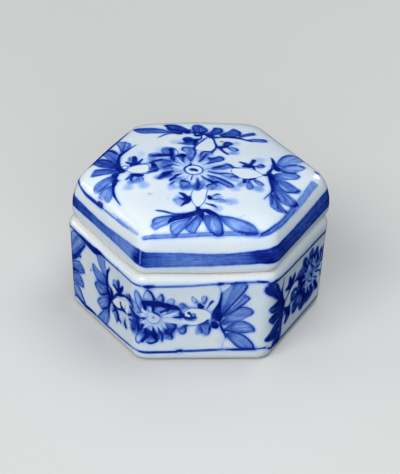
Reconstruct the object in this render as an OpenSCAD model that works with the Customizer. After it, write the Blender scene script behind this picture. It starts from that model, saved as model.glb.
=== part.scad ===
// Six-sided porcelain box for seal paste, with a lift-off lid.
// The foot stands on Z = 0, +Z is up, and two corners lie on the X axis,
// so one flat side faces -Y. All sizes are in millimetres.
//
// Every section of the porcelain is a hexagon with rounded corners. A piece is
// described by one closed wall section, a list of [apothem, height, corner radius]
// stations, and is lofted round the six sides from it.

/* [Body] */
// Width across the flats at the shoulder of the body
body_flats = 65.8; // [56:0.2:76]
// How much narrower each side is at the foot than at the shoulder
body_draft = 1.25; // [0:0.05:2.5]
// Height of the seat where the lid rests
seat_h = 29.7; // [22:0.1:36]
// Radius of the six upright corners
corner_r = 5.0; // [4.4:0.1:7]
// Height of the floor of the paste well
floor_h = 5.0; // [4:0.1:8]
// Depth of the glazed recess under the foot
foot_recess = 1.3; // [0.6:0.1:2]
// Width of the unglazed foot ring
foot_w = 2.6; // [2:0.1:4]

/* [Fit of the lid] */
// Height of the upstanding flange above the seat
flange_h = 3.55; // [2.5:0.05:5]
// Thickness of the flange
flange_t = 1.7; // [1.4:0.1:2.4]
// Distance from the outside of the body to the outside of the flange
flange_in = 4.0; // [3.6:0.1:4.6]
// Clearance between flange and lid on each side
flange_gap = 1.1; // [1:0.05:1.4]
// How far the lid sits off centre, to the right
lid_dx = 0.6; // [0:0.05:0.6]
// How far the lid sits off centre, to the back
lid_dy = 0.6; // [0:0.05:0.6]

/* [Lid] */
// Width across the flats of the lid
lid_flats = 65.3; // [56:0.1:75.5]
// Height of the lid from the seat to the crown
lid_h = 16.3; // [14:0.1:20]
// Thickness of the crown
crown_t = 3.7; // [3:0.1:5]

/* [Seal paste] */
// Diameter of the pat of paste
paste_d = 49; // [36:0.5:50]
// Height of the pat of paste
paste_h = 12; // [6:0.5:16]

/* [Smoothness] */
// Facets round each upright corner
corner_steps = 6; // [4:1:10]

/* [Hidden] */

body_a = body_flats / 2;             // apothem at the shoulder
foot_a = body_a - body_draft;        // apothem at the foot
lid_a = lid_flats / 2;
flange_a = body_a - flange_in;       // outside of the flange
well_a = flange_a - flange_t;        // inside of the well
socket_a = flange_a + flange_gap;    // inside of the lid's skirt
flange_top = seat_h + flange_h;
k = lid_h / 16.3;                    // lid sections keep their shape with height

porcelain = [0.91, 0.92, 0.90];
porcelain_lid = [0.88, 0.91, 0.95];
vermilion = [0.78, 0.10, 0.06];

// Wall section of the body: under the foot, up the outside, over the seat and
// the flange, and down into the well.
body_section = [
  [0,                     foot_recess,        0],
  [foot_a - foot_w - 3.2, foot_recess,        2.6],
  [foot_a - foot_w - 2.2, foot_recess - 0.25, 3.0],
  [foot_a - foot_w - 1.6, 0.35,               3.2],
  [foot_a - foot_w - 1.5, 0,                  3.3],
  [foot_a - 1.5,          0,                  corner_r - 1.2],
  [foot_a - 0.85,         0.25,               corner_r - 0.7],
  [foot_a - 0.35,         0.8,                corner_r - 0.3],
  [foot_a,                1.8,                corner_r],
  [foot_a + body_draft * 0.30, seat_h * 0.25, corner_r],
  [foot_a + body_draft * 0.58, seat_h * 0.50, corner_r],
  [foot_a + body_draft * 0.85, seat_h * 0.75, corner_r],
  [body_a,                seat_h - 3.1,       corner_r],
  [body_a - 0.15,         seat_h - 2.0,       corner_r - 0.1],
  [body_a - 0.5,          seat_h - 1.15,      corner_r - 0.4],
  [body_a - 0.95,         seat_h - 0.55,      corner_r - 0.8],
  [body_a - 1.4,          seat_h - 0.17,      corner_r - 1.1],
  [body_a - 1.75,         seat_h,             corner_r - 1.3],
  [flange_a + 0.15,       seat_h,             corner_r - 0.5],
  [flange_a,              seat_h + 0.2,       corner_r - 0.6],
  [flange_a,              flange_top - 0.55,  corner_r - 0.6],
  [flange_a - 0.2,        flange_top - 0.2,   corner_r - 0.7],
  [flange_a - 0.55,       flange_top,         corner_r - 0.9],
  [well_a + 0.55,         flange_top,         corner_r - 0.9],
  [well_a + 0.15,         flange_top - 0.2,   corner_r - 1.0],
  [well_a,                flange_top - 0.6,   corner_r - 1.0],
  [well_a - 0.1,          floor_h + 14,       corner_r - 1.0],
  [well_a - 0.3,          floor_h + 4.5,      corner_r - 0.9],
  [well_a - 0.7,          floor_h + 2.7,      corner_r - 0.6],
  [well_a - 1.6,          floor_h + 1.2,      corner_r - 0.4],
  [well_a - 3.0,          floor_h + 0.35,     corner_r - 0.6],
  [well_a - 4.8,          floor_h,            corner_r - 1.2],
  [0,                     floor_h,            0]
];

// Wall section of the lid, with heights above the seat: over the crown, down
// the shoulder and the side, across the rim, and up into the hollow.
lid_section = [
  [0,             16.30 * k, 0],
  [lid_a - 27,    16.20 * k, 5.2],
  [lid_a - 22,    15.92 * k, 8.6],
  [lid_a - 17,    15.52 * k, 10.6],
  [lid_a - 12.5,  15.05 * k, 11.0],
  [lid_a - 8.8,   14.52 * k, 10.2],
  [lid_a - 6.2,   13.98 * k, 9.0],
  [lid_a - 4.4,   13.36 * k, 7.8],
  [lid_a - 3.1,   12.62 * k, 6.8],
  [lid_a - 2.2,   11.75 * k, 6.0],
  [lid_a - 1.5,   10.6 * k,  5.5],
  [lid_a - 0.95,  9.2 * k,   corner_r + 0.2],
  [lid_a - 0.45,  7.3 * k,   corner_r],
  [lid_a - 0.1,   5.2 * k,   corner_r - 0.1],
  [lid_a,         3.2 * k,   corner_r - 0.1],
  [lid_a - 0.1,   1.7,       corner_r - 0.2],
  [lid_a - 0.45,  0.8,       corner_r - 0.4],
  [lid_a - 0.9,   0.28,      corner_r - 0.7],
  [lid_a - 1.35,  0,         corner_r - 1.0],
  [socket_a + 0.2, 0,        corner_r + 0.3],
  [socket_a,      0.3,       corner_r + 0.2],
  [socket_a,      4.4 * k,   corner_r + 0.2],
  [socket_a - 0.25, 6.4 * k, corner_r + 0.2],
  [socket_a - 0.9, 8.2 * k,  corner_r + 0.3],
  [socket_a - 2.1, 9.4 * k,  corner_r + 0.8],
  [socket_a - 4.0, (16.3 - 6.0) * k, 7.0],
  [socket_a - 7.5, 14.6 * k - crown_t, 9.0],
  [socket_a - 12,  15.2 * k - crown_t, 9.8],
  [socket_a - 18,  15.85 * k - crown_t, 8.4],
  [socket_a - 24,  16.2 * k - crown_t, 4.0],
  [0,              16.3 * k - crown_t, 0]
];

// Rounded profile of the pat of paste, as half of a flattened bun.
function bun(r, h, n) = concat([[0, 0], [r - 2.2, 0]],
  [for (i = [0:n]) let (t = 90 * i / n)
    [r * pow(cos(t), 0.62), 2.0 + (h - 2.0) * pow(sin(t), 0.92)]]);

// Points of one hexagonal ring, counter-clockwise seen from above.
function ring(a, z, r, s) = [
  for (c = [0:5], i = [0:s])
    let (mid = 60 * c, th = mid - 30 + 60 * i / s, d = (a - r) * 2 / sqrt(3))
      [d * cos(mid) + r * cos(th), d * sin(mid) + r * sin(th), z]
];

// Closed solid from a wall section whose two ends lie on the axis. up is true
// where the section starts underneath, and false where it starts at the crown.
module hex_shell(section, up, s = corner_steps) {
  m = len(section) - 2;
  n = 6 * (s + 1);
  pts = concat(
    [for (j = [1:m]) each ring(section[j][0], section[j][1], section[j][2], s)],
    [[0, 0, section[0][1]], [0, 0, section[m + 1][1]]]);
  walls = [for (j = [0:m - 2], i = [0:n - 1]) let (i2 = (i + 1) % n)
    [j * n + i, (j + 1) * n + i, (j + 1) * n + i2, j * n + i2]];
  first = [for (i = [0:n - 1]) [m * n, i, (i + 1) % n]];
  last = [for (i = [0:n - 1]) [m * n + 1, (m - 1) * n + (i + 1) % n, (m - 1) * n + i]];
  faces = concat(walls, first, last);
  polyhedron(pts, up ? faces : [for (f = faces) [for (i = [len(f) - 1:-1:0]) f[i]]],
    convexity = 6);
}

// Lower half of the box: foot, walls, seat, flange and well.
module box_body() {
  color(porcelain) hex_shell(body_section, true);
}

// Lid, resting on the seat round the flange.
module lid() {
  color(porcelain_lid) translate([lid_dx, lid_dy, seat_h]) hex_shell(lid_section, false);
}

// Pat of vermilion paste in the well.
module seal_paste() {
  color(vermilion) translate([0, 0, floor_h])
    rotate_extrude($fn = 96) polygon(bun(paste_d / 2, paste_h, 14));
}

box_body();
lid();
seal_paste();
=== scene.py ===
import math
import bpy
import numpy as np
from mathutils import Matrix


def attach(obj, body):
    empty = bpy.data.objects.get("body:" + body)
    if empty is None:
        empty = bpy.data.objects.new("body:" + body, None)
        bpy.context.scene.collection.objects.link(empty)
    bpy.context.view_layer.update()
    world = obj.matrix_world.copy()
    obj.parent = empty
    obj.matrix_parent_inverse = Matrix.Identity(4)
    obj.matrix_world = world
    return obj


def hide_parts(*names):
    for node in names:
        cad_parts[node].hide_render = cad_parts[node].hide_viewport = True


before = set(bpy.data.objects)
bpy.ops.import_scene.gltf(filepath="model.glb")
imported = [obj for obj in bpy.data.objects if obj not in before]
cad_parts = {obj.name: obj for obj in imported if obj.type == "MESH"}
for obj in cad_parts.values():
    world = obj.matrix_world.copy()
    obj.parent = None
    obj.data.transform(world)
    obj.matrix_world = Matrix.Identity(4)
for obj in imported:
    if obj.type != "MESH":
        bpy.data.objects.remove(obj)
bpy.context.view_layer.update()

# Hexagonal porcelain box for seal paste, painted in underglaze blue by hand.
# Lengths are in millimetres until a mesh is made, and then in metres.
# The drawing is a list of brush strokes; each is laid on the surface by its distance
# from every vertex, and the material turns the amount of cobalt into a colour.

# Brushwork, in millimetres. Each shape is one stroke of the painter's brush.
# P: petal or leaf, a closed outline with a root the brush started from. (outline, root, fill, edge, edge width)
# B: line or blob of ink, as points with the full width at each. (points, tone)
# W: a place left white. (outline, edge tone, edge width)
# H: a soft pale bloom of colour. (x, y, rx, ry, angle, tone)
TOP = []
def P(o, root, fill=.45, edge=.8, ew=.32, s=TOP): s.append(('P', o, root, fill, edge, ew))
def B(o, tone=.85, s=TOP): s.append(('B', o, tone))
def W(o, edge=.55, ew=.35, s=TOP): s.append(('W', o, edge, ew))
def H(x, y, rx, ry, ang=0, tone=.25, s=TOP): s.append(('H', x, y, rx, ry, ang, tone))

# front arm
H(-7.6,-18.6,1.5,2.4,0,.25); H(-8.8,-18.4,.6,.7,0,.16); H(3.8,-19.2,1.7,.8,-10,.26); H(6.6,-19.2,2.2,1.8,0,.11); H(3.3,-22.4,1.5,1.4,0,.15)
H(3.6,-17.2,1.2,.6,0,.2); H(-15.5,-15,1.2,.8,0,.10)
P([(-5.5,-25.0),(-9,-25.3),(-12,-25.5),(-14,-25.9),(-15,-26.7),(-15.3,-28.0),(-15.8,-28.9),(-15.4,-29.9),(-14.6,-30.4),(-13.3,-29.8),(-12,-29.2),(-11,-28.8),(-9.5,-27.5),(-7,-26.2)], (-5,-25), .33,.5,.3)
B([(-15.5,-28.9,.35),(-14.2,-28.2,.4),(-12.6,-27.4,.35),(-11,-26.8,.3)], .6)
B([(-15.2,-28.2,.4),(-14.9,-26.8,.6),(-13.6,-26.1,.7),(-11,-25.7,.8),(-8,-25.4,.9)], .72)
P([(-4.2,-26.0),(-7,-27.2),(-9.8,-28.2),(-10.5,-29.5),(-10.4,-31.0),(-9.6,-31.9),(-8.8,-32.2),(-7.8,-31.2),(-6.6,-30.2),(-5.4,-28.4),(-4.4,-27.0)], (-3,-24.5), .40,.75,.4)
B([(-9.9,-30.9,.3),(-8.4,-29.6,.35),(-6.9,-28.4,.35),(-5.4,-27.2,.3)], .6)
P([(-2.6,-25.5),(-4.2,-27.6),(-5.6,-29.2),(-6.3,-29.9),(-5.6,-30.8),(-4.4,-31.4),(-3.4,-31.2),(-3.0,-30.4),(-2.3,-29.2),(-1.7,-28.0),(-1.5,-26.5)], (-2,-24), .42,.8,.35)
B([(-6.2,-29.9,.4),(-4.8,-28.3,.5),(-3.4,-26.6,.6),(-2.6,-25.5,.7)], .85)
B([(-5.0,-29.6,.25),(-3.8,-27.8,.3),(-2.6,-26.0,.3)], .62)
P([(-0.3,-25.3),(-0.9,-26.5),(-1.0,-27.8),(-0.4,-29.4),(0.6,-30.9),(1.7,-31.8),(3.0,-32.2),(4.2,-32.0),(4.3,-30.5),(4.0,-28.8),(3.6,-27.2),(2.8,-26.0),(1.5,-25.5)], (0.5,-24.5), .46,.8,.35)
B([(3.0,-26.3,.7),(3.8,-28.2,.6),(4.1,-30,.6),(4.0,-31.6,.9),(2.8,-32.0,.8),(1.4,-31.3,.5),(.2,-30.2,.4)], .82)
B([(1.4,-26.2,.3),(2.2,-28,.3),(2.9,-29.6,.3)], .6)
P([(3,-25.5),(6,-26.0),(9,-27),(11.5,-28.2),(13.3,-29.6),(14.1,-31.3),(14.0,-31.9),(12,-32),(9,-31.4),(7,-30.5),(5,-29),(3.5,-27)], (2,-25), .38,.7,.35)
B([(3.2,-25.8,.6),(6,-26.1,.5),(9,-27.1,.4),(11.4,-28.2,.35),(13.2,-29.6,.3),(14.1,-31.4,.4)], .8)
B([(14.2,-31.6,.7),(12.2,-31.6,1.0),(10.4,-31.3,.9),(8.8,-30.9,.5)], .78)
B([(11.2,-28.8,.25),(12.6,-30.2,.3),(13.6,-31.2,.25)], .6)
B([(-10.7,-27.9,.9),(-9.2,-26.6,1.9),(-7.2,-25.9,2.2),(-5,-25.2,2.2),(-3.2,-24.4,1.9),(-2,-23.6,1.6)], .93)
B([(-2.4,-21.7,1.1),(-2.3,-22.6,1.3),(-2.0,-23.6,1.8),(-1.6,-25,1.8),(-1.3,-26.4,.9),(-1.2,-27.7,.2)], .95)
B([(-1.2,-23.4,1.4),(0.1,-23.5,1.7),(1.2,-24.4,1.9),(2.2,-25.1,1.5),(3.1,-25.6,.8)], .97)
B([(-14.0,-22.9,.5),(-13.2,-23.1,.8),(-11.5,-23.7,.8),(-10,-24.4,.7),(-8.5,-24.8,.7),(-6.5,-24.7,.9)], .74)
B([(9.2,-26.2,.3),(10.5,-25.3,.4)], .18)
W([(-3.0,-13.6),(-3.8,-15.4),(-4.0,-17.5),(-3.8,-19.4),(-3.2,-21.0),(-2.3,-21.8),(-1.5,-21.2),(-0.6,-19.8),(0.0,-18),(0.3,-16),(0.7,-13.8),(-0.5,-13.2),(-2,-14.3)], .5,.32)
B([(-7.1,-15.1,.6),(-6.3,-15.8,1.2),(-5.5,-17.1,1.4),(-5.0,-18.2,2.0),(-5.3,-19.4,1.6),(-6.2,-20.3,.9),(-7.0,-21.3,.4)], .9)
B([(-4.4,-16.9,.5),(-4.4,-18,.7),(-4.5,-19.2,.5)], .9)
B([(-7.4,-17.6,.5),(-6.5,-18,1.0),(-6,-18.4,1.2)], .82)
B([(1.0,-16.9,.9),(1.2,-17.6,1.5),(1.2,-18.0,1.2)], .95)
B([(2.0,-16.8,.4),(2.8,-16.3,.7),(3.4,-16.0,.8),(4.2,-16.2,.4)], .68)
B([(1.9,-18.3,.7),(2.8,-18.4,.6),(3.8,-18.2,.6),(4.8,-18.4,.4),(5.4,-19,.3)], .66)
B([(-0.1,-20.2,.4),(1.0,-20.7,.7),(2.0,-21.2,1.0),(2.8,-22.0,.5)], .8)

# right arm
H(17,3.2,1.8,1.6,0,.16); H(15.3,-12.4,1.5,1.8,0,.30); H(10.3,-10.8,1.1,1.2,0,.28); H(7.2,-19.5,2.0,1.6,0,.16); H(12.6,-12.2,1.0,1.3,0,.2)
B([(9.8,-11.2,.25),(10.6,-10.3,.5)], .4)
P([(21.5,0.2),(21.4,1.6),(22.0,3.0),(22.8,4.6),(23.8,6.4),(25.2,8.0),(27,9.3),(29,9.5),(30.3,8.6),(30.2,7.0),(29.3,5.2),(28.0,3.4),(26.5,2.0),(24.5,0.9),(22.8,0.1)], (20.5,-2), .42,.6,.3)
B([(21.9,2.8,.4),(22.8,4.7,.6),(23.9,6.6,.8),(25.4,8.2,.8),(27.2,9.2,.6)], .78)
B([(24.4,3.2,.3),(26,5.6,.4),(28.2,8,.4)], .55)
P([(20.4,-4.2),(22,-3.3),(24,-3.0),(26.2,-3.0),(27.4,-3.3),(27.9,-3.9),(27.4,-4.9),(26.3,-5.9),(24.4,-6.4),(22.9,-6.9),(21.6,-7.0),(20.5,-5.8)], (19,-4), .42,.7,.35)
B([(20.9,-4.9,.3),(22,-5.8,.4),(23.2,-6.3,.4)], .7)
B([(26.9,-3.4,.7),(27.4,-4.2,.6),(26.6,-5.4,.4)], .62)
P([(22.4,-0.4),(24,0.6),(25.8,1.9),(27.4,2.3),(28.8,2.3),(29.8,1.7),(29.4,0.4),(28.4,-0.8),(26.6,-2.0),(24.8,-2.9),(23,-2.6),(22.2,-1.6)], (20.5,-2), .40,.72,.35)
B([(23.2,.2,.4),(25,1.5,.6),(27,2.2,.8)], .82)
B([(28.4,2.1,.9),(29.3,1.5,.7)], .75)
B([(22.8,-2.4,.9),(24.2,-2.9,1.0),(26,-2.8,.9),(27,-2.3,.4)], .8)
P([(19.6,-7.2),(21.4,-7.1),(23.6,-7.6),(25.3,-8.9),(26.8,-9.9),(27.6,-10.4),(27.2,-11.4),(26.4,-12.1),(24.8,-12.6),(23.1,-12.9),(21.4,-12.0),(20.0,-10.9),(19.4,-9.2)], (19,-5), .42,.66,.32)
B([(27.3,-10.5,.6),(26.4,-11.3,.9),(25,-12.2,.6),(23.2,-12.6,.7),(21.8,-11.6,.6),(20.9,-10,.5)], .8)
B([(21.2,-7.6,.4),(22.9,-9.6,.5),(24.6,-11.2,.35)], .72)
B([(22.4,-8.4,.4),(24.2,-9.5,.5),(26.6,-10.6,.6)], .60); B([(20.2,-7.4,.5),(22,-7.4,.5),(23.8,-7.9,.5),(25.6,-9.2,.4)], .74)
P([(19.3,-10.6),(21.1,-11.8),(22.8,-13.0),(24.4,-14.3),(26,-15.2),(27.2,-15.9),(26.6,-17.0),(25.2,-17.9),(24.4,-18.5),(23,-18.5),(21.2,-18.2),(20.0,-16.8),(19.2,-14)], (19,-9), .50,.6,.3)
B([(25.6,-15.6,.5),(26.5,-16.1,1.0),(25.8,-16.9,.9),(24.7,-17.9,.5)], .92)
B([(19.9,-14,.5),(20.4,-16.0,.8),(21.2,-17.6,.5)], .84)
B([(21.6,-14,.25),(22.6,-16,.5),(22.2,-17.4,.6)], .62)
B([(23.4,-13.3,.3),(24.8,-14.9,.35),(25.8,-15.6,.4)], .55)
P([(18.6,-14.6),(19.6,-15),(20.4,-17.5),(21.4,-19.2),(22.2,-20.4),(23.2,-21.0),(22.6,-21.6),(21.4,-22.0),(20.2,-22.3),(18.9,-21.6),(18.0,-20.6),(18.0,-18.5),(18.0,-16.2)], (19,-12), .52,.66,.35)
B([(18.9,-15,1.2),(18.8,-17,.9),(18.6,-19.6,.5)], .78); B([(20.5,-6.8,.8),(20.3,-9.0,.9),(20.1,-11.2,.9),(19.8,-13.4,.8),(19.5,-15.4,.6)], .74); B([(20.6,-12.6,.4),(21.8,-14.6,.5),(23.2,-16.6,.5)], .62)
B([(19.6,-17,.5),(20.2,-19.2,.6),(20.1,-20.8,.9)], .78)
B([(22.0,-20.6,.5),(23.0,-21.0,.8),(22.4,-21.5,.4)], .85)
B([(20.2,5.0,.4),(20.5,3.5,.9),(20.7,1.5,1.2),(20.8,0,1.6),(21.3,-1.2,2.2),(21.6,-2.2,1.2)], .93)
B([(20.0,.6,.3),(19.8,-1.5,.7),(19.0,-3.2,1.2),(18.8,-4.4,1.6),(19.5,-5.6,2.2),(19.4,-7.2,2.0),(19.3,-9,1.6),(19.3,-11,1.1),(19.1,-13,.9),(18.4,-14.4,.5),(17.4,-15.8,.35),(16.5,-17.4,.2)], .93)
B([(19.6,-6.4,1.2),(20.6,-8.2,1.0),(20.6,-10,.4)], .85)
B([(16.9,-5.2,.5),(17.5,-5.2,1.0),(18.2,-4.8,.9)], .9)
B([(18.3,-5.5,.3),(18.4,-6.5,.3)], .3)
W([(8.0,-3.6),(9.0,-2.2),(11,-2.0),(13.2,-2.3),(15,-3.1),(16.3,-4.3),(17,-5.2),(16,-6.2),(14.4,-7.1),(12.3,-7.7),(10.4,-7.4),(9.2,-6.2),(8.2,-5.0)], .5,.3)
B([(8.6,-2,.5),(10.2,-2.1,.5),(12,-2.0,.5)], .5)
B([(11.6,-1.1,.9),(13.0,-.8,2.0),(14.2,-1,1.5),(14.7,-2.1,.6),(15,-2.8,.2)], .9)
B([(13.4,-.6,1.4),(14.2,.9,1.1),(14.9,2.5,1.4),(14.9,3.0,.9)], .88)
B([(12.9,-.4,1.6),(12,.6,1.2),(10.9,1.3,.7)], .84)
P([(15.5,-.8),(16.1,0.4),(17.0,0.8),(17.8,0.4),(17.9,-0.5),(17.2,-1.4),(16.2,-1.7),(15.6,-1.4)], (15,-1), .45,.72,.4)
B([(14.6,-.8,.8),(15.6,-.5,.5),(16.2,.2,.4)], .8)
B([(16.9,.5,.9),(17.3,-.2,1.0)], .85)
B([(11.3,-7.9,.4),(12.6,-8.1,.7),(13.8,-7.7,.9),(14.7,-7.3,.6)], .9)
P([(12.4,-9.0),(13.5,-10.5),(13.9,-12),(13.1,-13.2),(12,-12.8),(11.7,-11.5),(12,-10)], (12.6,-7.8), .3,.35,.3)
B([(13.1,-9.4,.4),(13.5,-11,.5),(13.6,-12.3,.5)], .72)
P([(14.2,-8.0),(15.6,-8.5),(16.6,-9.5),(16.9,-10.4),(16.2,-11),(15.2,-10.4),(14.4,-9.4)], (14,-7.6), .38,.55,.35)
B([(15.4,-8.5,.4),(16.4,-9.7,.6),(16.5,-10.5,.5)], .72)
B([(11.6,-8.2,1.0),(11.5,-9.2,1.4),(11.2,-9.9,.7)], .86)
B([(12.8,-8.6,.6),(12.6,-9.6,.5)], .86)

# left arm
H(-20.5,4.6,.7,1.6,0,.4); H(-18.6,-7.4,1.3,1.5,0,.32); H(-21.4,-10.4,1.6,1.6,0,.20); H(-17,-10.2,1.6,1.8,0,.22); H(-20.6,-8,1.2,1.2,0,.3); H(-17.2,7.6,1.2,2.2,0,.12); H(-11.5,9,2.2,2.6,0,.12)
P([(-22.8,8.4),(-23.2,11),(-23.6,13.4),(-24.2,15.4),(-24.8,17.2),(-24.0,17.5),(-22.6,17.0),(-21.2,16.3),(-20.2,15.4),(-20.0,14.0),(-20.3,12.2),(-21.2,10.2)], (-23.2,6.5), .50,.75,.4)
B([(-21.6,16.8,.5),(-21.9,14,.6),(-22.3,11.6,.6),(-22.6,10,.8)], .72)
P([(-24.2,3.4),(-25.9,4.9),(-27.3,7.2),(-28.4,9.8),(-28.8,11.8),(-27.6,13.0),(-26.2,12.6),(-24.8,11.4),(-23.8,9.6),(-23.3,7.2),(-23.4,5.2)], (-23.6,2.5), .52,.74,.4)
B([(-27.9,12.2,1.2),(-26.2,11.7,1.3),(-24.9,10.4,1.3),(-24.2,9,.7)], .82)
B([(-26.4,9.6,.5),(-25.4,7.2,.5),(-24.6,5.0,.5)], .65)
P([(-24.2,.2),(-25.6,-.1),(-27.4,.9),(-28.7,1.5),(-30.2,3.0),(-31.6,5.4),(-31.0,7.1),(-29.8,7.5),(-28.2,7.0),(-26.8,6.0),(-25.4,4.4),(-24.4,2.8)], (-23.4,0), .58,.78,.4)
B([(-30.4,6.9,.9),(-29,6.5,1.0),(-27.8,5.9,.9),(-26.2,4.6,.5)], .82)
B([(-29.8,4.8,.6),(-27.8,3.4,.7),(-25.8,1.8,.8)], .74); B([(-29.0,2.6,.5),(-27.2,1.6,.5),(-25.4,.6,.8)], .72); B([(-26.8,5.0,.6),(-25.4,3.2,.8),(-24.4,1.6,1.0)], .78)
P([(-24.6,-1.0),(-26.4,0.2),(-28.6,0.8),(-30.5,0.8),(-31.6,-0.8),(-31.9,-2.0),(-30.9,-2.6),(-28.5,-2.5),(-26.2,-2.7),(-24.6,-2.4)], (-23.5,-1.8), .48,.72,.4)
B([(-30.6,.5,.8),(-28.8,.2,.9),(-27,-.2,.9),(-25.4,-.9,1.0)], .82)
B([(-31.7,-1.9,.7),(-30,-2.4,.6),(-27.4,-2.4,.5)], .72)
P([(-25.6,-4.2),(-27,-4.0),(-29,-4.9),(-31,-6.0),(-31.9,-7.4),(-31.7,-8.6),(-30.8,-9.3),(-29.5,-8.9),(-27.5,-8.2),(-26.2,-7.2),(-25.6,-5.8)], (-24.6,-4), .38,.68,.35)
B([(-31.4,-7.8,.5),(-29.6,-6.9,.5),(-27.8,-5.9,.4),(-26.2,-5.2,.4)], .66)
B([(-30.4,-9,.5),(-28.8,-8.6,.8),(-27.2,-7.8,.6)], .72)
P([(-26.0,-8.3),(-27.4,-8.6),(-29.2,-9.2),(-30.6,-10.2),(-30.4,-11.4),(-29.2,-12.6),(-28.4,-13.9),(-27.6,-14.6),(-26.6,-14.0),(-26.0,-12.5),(-25.9,-10.5)], (-25.4,-7), .38,.66,.35)
B([(-30.3,-10.6,.9),(-29.4,-11.9,.5)], .7)
B([(-26.9,-9,.4),(-27.6,-11,.4),(-27.9,-13,.4)], .5)
W([(-22.9,3.6),(-22.4,4.6),(-22,6.4),(-22.4,7.4),(-21.6,7.2),(-21.2,5.4),(-21.6,4)], 0,.1)
B([(-18.5,13.8,.25),(-20,12.1,.55),(-21.5,10.4,1.0),(-22.7,8.9,1.3),(-23.5,7.2,1.1),(-23.8,5.4,1.0),(-24.0,3.4,1.4),(-24.1,1,1.9),(-23.6,-.8,2.4),(-22.9,-2.0,1.7),(-21.9,-1.6,.7)], .94)
B([(-23,-2.2,1.2),(-24.2,-2.9,1.2),(-25.0,-3.8,2.2),(-25.0,-4.9,1.3),(-25.1,-6.6,1.7),(-25.3,-7.8,1.5),(-25.7,-9.5,.9),(-25.7,-12,.9),(-25.2,-14.2,.55),(-24.5,-16.2,.4),(-24.0,-17.5,.2)], .94)
B([(-25,-6.4,1.0),(-24.2,-6.6,.8)], .9)
B([(-20.6,.6,.7),(-19.6,1.4,1.6),(-18.4,1.7,1.5),(-17.7,1.3,.5)], .9)
B([(-19.2,2,1.6),(-19.2,3.6,1.7),(-19.2,5,1.6),(-19.3,6.0,1.1)], .87)
B([(-19.8,1.6,1.4),(-21,2.4,1.1),(-21.5,3.0,.8)], .8)
B([(-18.6,1.8,1.0),(-17.6,3,1.0),(-17.0,4.1,.6)], .78)
B([(-20.4,-4.0,.8),(-19.4,-4.5,1.6),(-18.2,-4.9,1.8),(-17.4,-4.9,1.3)], .93)
B([(-20,-4.6,1.2),(-21.1,-5.6,1.0),(-21.9,-6.4,.6)], .74)
B([(-20.3,-5.2,1.4),(-20.5,-6.8,.8),(-20.3,-7.9,.4)], .82)
B([(-18.4,-6,.5),(-19,-7.2,.5),(-19.4,-8.4,.3)], .6)
B([(-17.4,-5.8,.5),(-17.1,-7,.5),(-17.2,-8,.3)], .62)
W([(-21.6,-1.5),(-20.9,-0.4),(-19.6,0.4),(-17.6,0.8),(-15.8,0.7),(-15.2,-0.4),(-15.4,-2.6),(-16.2,-3.6),(-17.6,-3.8),(-19.4,-3.5),(-20.6,-2.9),(-21.4,-2.2)], .55,.3)
W([(-22.9,0.3),(-22.3,1.0),(-21.5,0.8),(-21.3,-0.1),(-22.0,-0.7),(-22.8,-0.4)], .7,.35)
B([(-17.6,1.1,.3),(-16.6,1.4,.5),(-15.2,1.4,.5),(-14.2,1.6,.6)], .62)
B([(-17,-4.1,.3),(-15.8,-4.2,.5),(-15,-3.7,.6),(-13.6,-3.2,.8)], .72)
B([(-37.4,3.8,.5),(-36.9,1.8,1.0),(-36.8,-.6,.75),(-36.4,-3.2,.7),(-35.5,-5.9,.9),(-34.3,-8.0,1.0),(-33.1,-10.0,1.05),(-31.9,-12.0,1.0),(-30.9,-13.6,.8),(-30.1,-14.9,.4)], .85)
B([(-31.3,-12.3,1.6),(-30.5,-13.5,1.6)], .95)

# back arm
BACK_ARM = len(TOP)
H(-7,13.8,1.8,1.6,0,.14); H(9.4,6.6,1.6,1.2,0,.28); H(10.9,12.8,1.0,1.5,0,.14); H(-4,12.4,1.6,.9,0,.3)
P([(-6.2,21.8),(-8.5,22.6),(-10.5,24.2),(-13,25.2),(-16,25.6),(-18.9,25.8),(-18.8,24.2),(-17.8,22.4),(-16.2,21.2),(-13.5,20.8),(-11,20.6),(-8.8,20.9)], (-5,21.5), .40,.5,.35)
B([(-18.6,24.9,.6),(-16.5,24.9,1.1),(-13.5,24.7,1.0),(-11,24.1,.7)], .72)
B([(-16.8,23.9,.3),(-14.4,23.0,.4),(-11.6,22.4,.3)], .5)
P([(-3.4,21.8),(-5.5,22.2),(-8,22.6),(-9.0,24.0),(-9.3,26),(-9.8,27.6),(-9.0,29.0),(-7,29.4),(-5.4,28.6),(-4,26.6),(-2.9,24.6),(-2.4,23)], (-3,21), .5,.72,.4)
B([(-9.4,27.4,1.0),(-8,28.2,1.2),(-6.4,27.6,1.2),(-5,26.2,.7)], .76)
B([(-8.5,23.5,.8),(-7.4,23.1,.9)], .8)
B([(-6.8,25.8,.35),(-5.2,23.8,.45),(-4.2,22.8,.5)], .65)
B([(-2.6,23.9,1.3),(-2.9,22.6,1.1)], .84)
P([(-1.4,21.0),(-1.6,23),(-1.8,25.5),(-1.6,28),(-1.0,29.6),(0.2,29.8),(1.2,28.6),(2.2,26.4),(2.8,24),(2.6,22),(1.8,20.6),(0.4,20.4)], (.4,19.5), .46,.74,.4)
B([(.2,29.0,.8),(.8,27.4,1.0),(1.4,25.6,.9),(2.4,23.6,.5)], .8)
B([(-1.3,21.4,.7),(-1.5,24,.5),(-1.6,27,.6)], .78)
B([(.2,24.6,.35),(.7,22.8,.4),(1,21.4,.4)], .62)
P([(2.2,20.0),(3.2,21.6),(4.0,23.4),(4.5,25.2),(4.9,26),(6.2,25.4),(7.0,24.4),(7.2,22.4),(6.9,20.8),(5.6,19.2),(3.6,18.4)], (3,17.5), .46,.7,.38)
B([(6.4,24.6,.6),(6.8,23,.9),(6.8,21.2,.7),(5.6,19.4,.6)], .82)
B([(5.2,24.4,.35),(5.0,22.4,.45),(4.2,20.4,.4)], .64)
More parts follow.
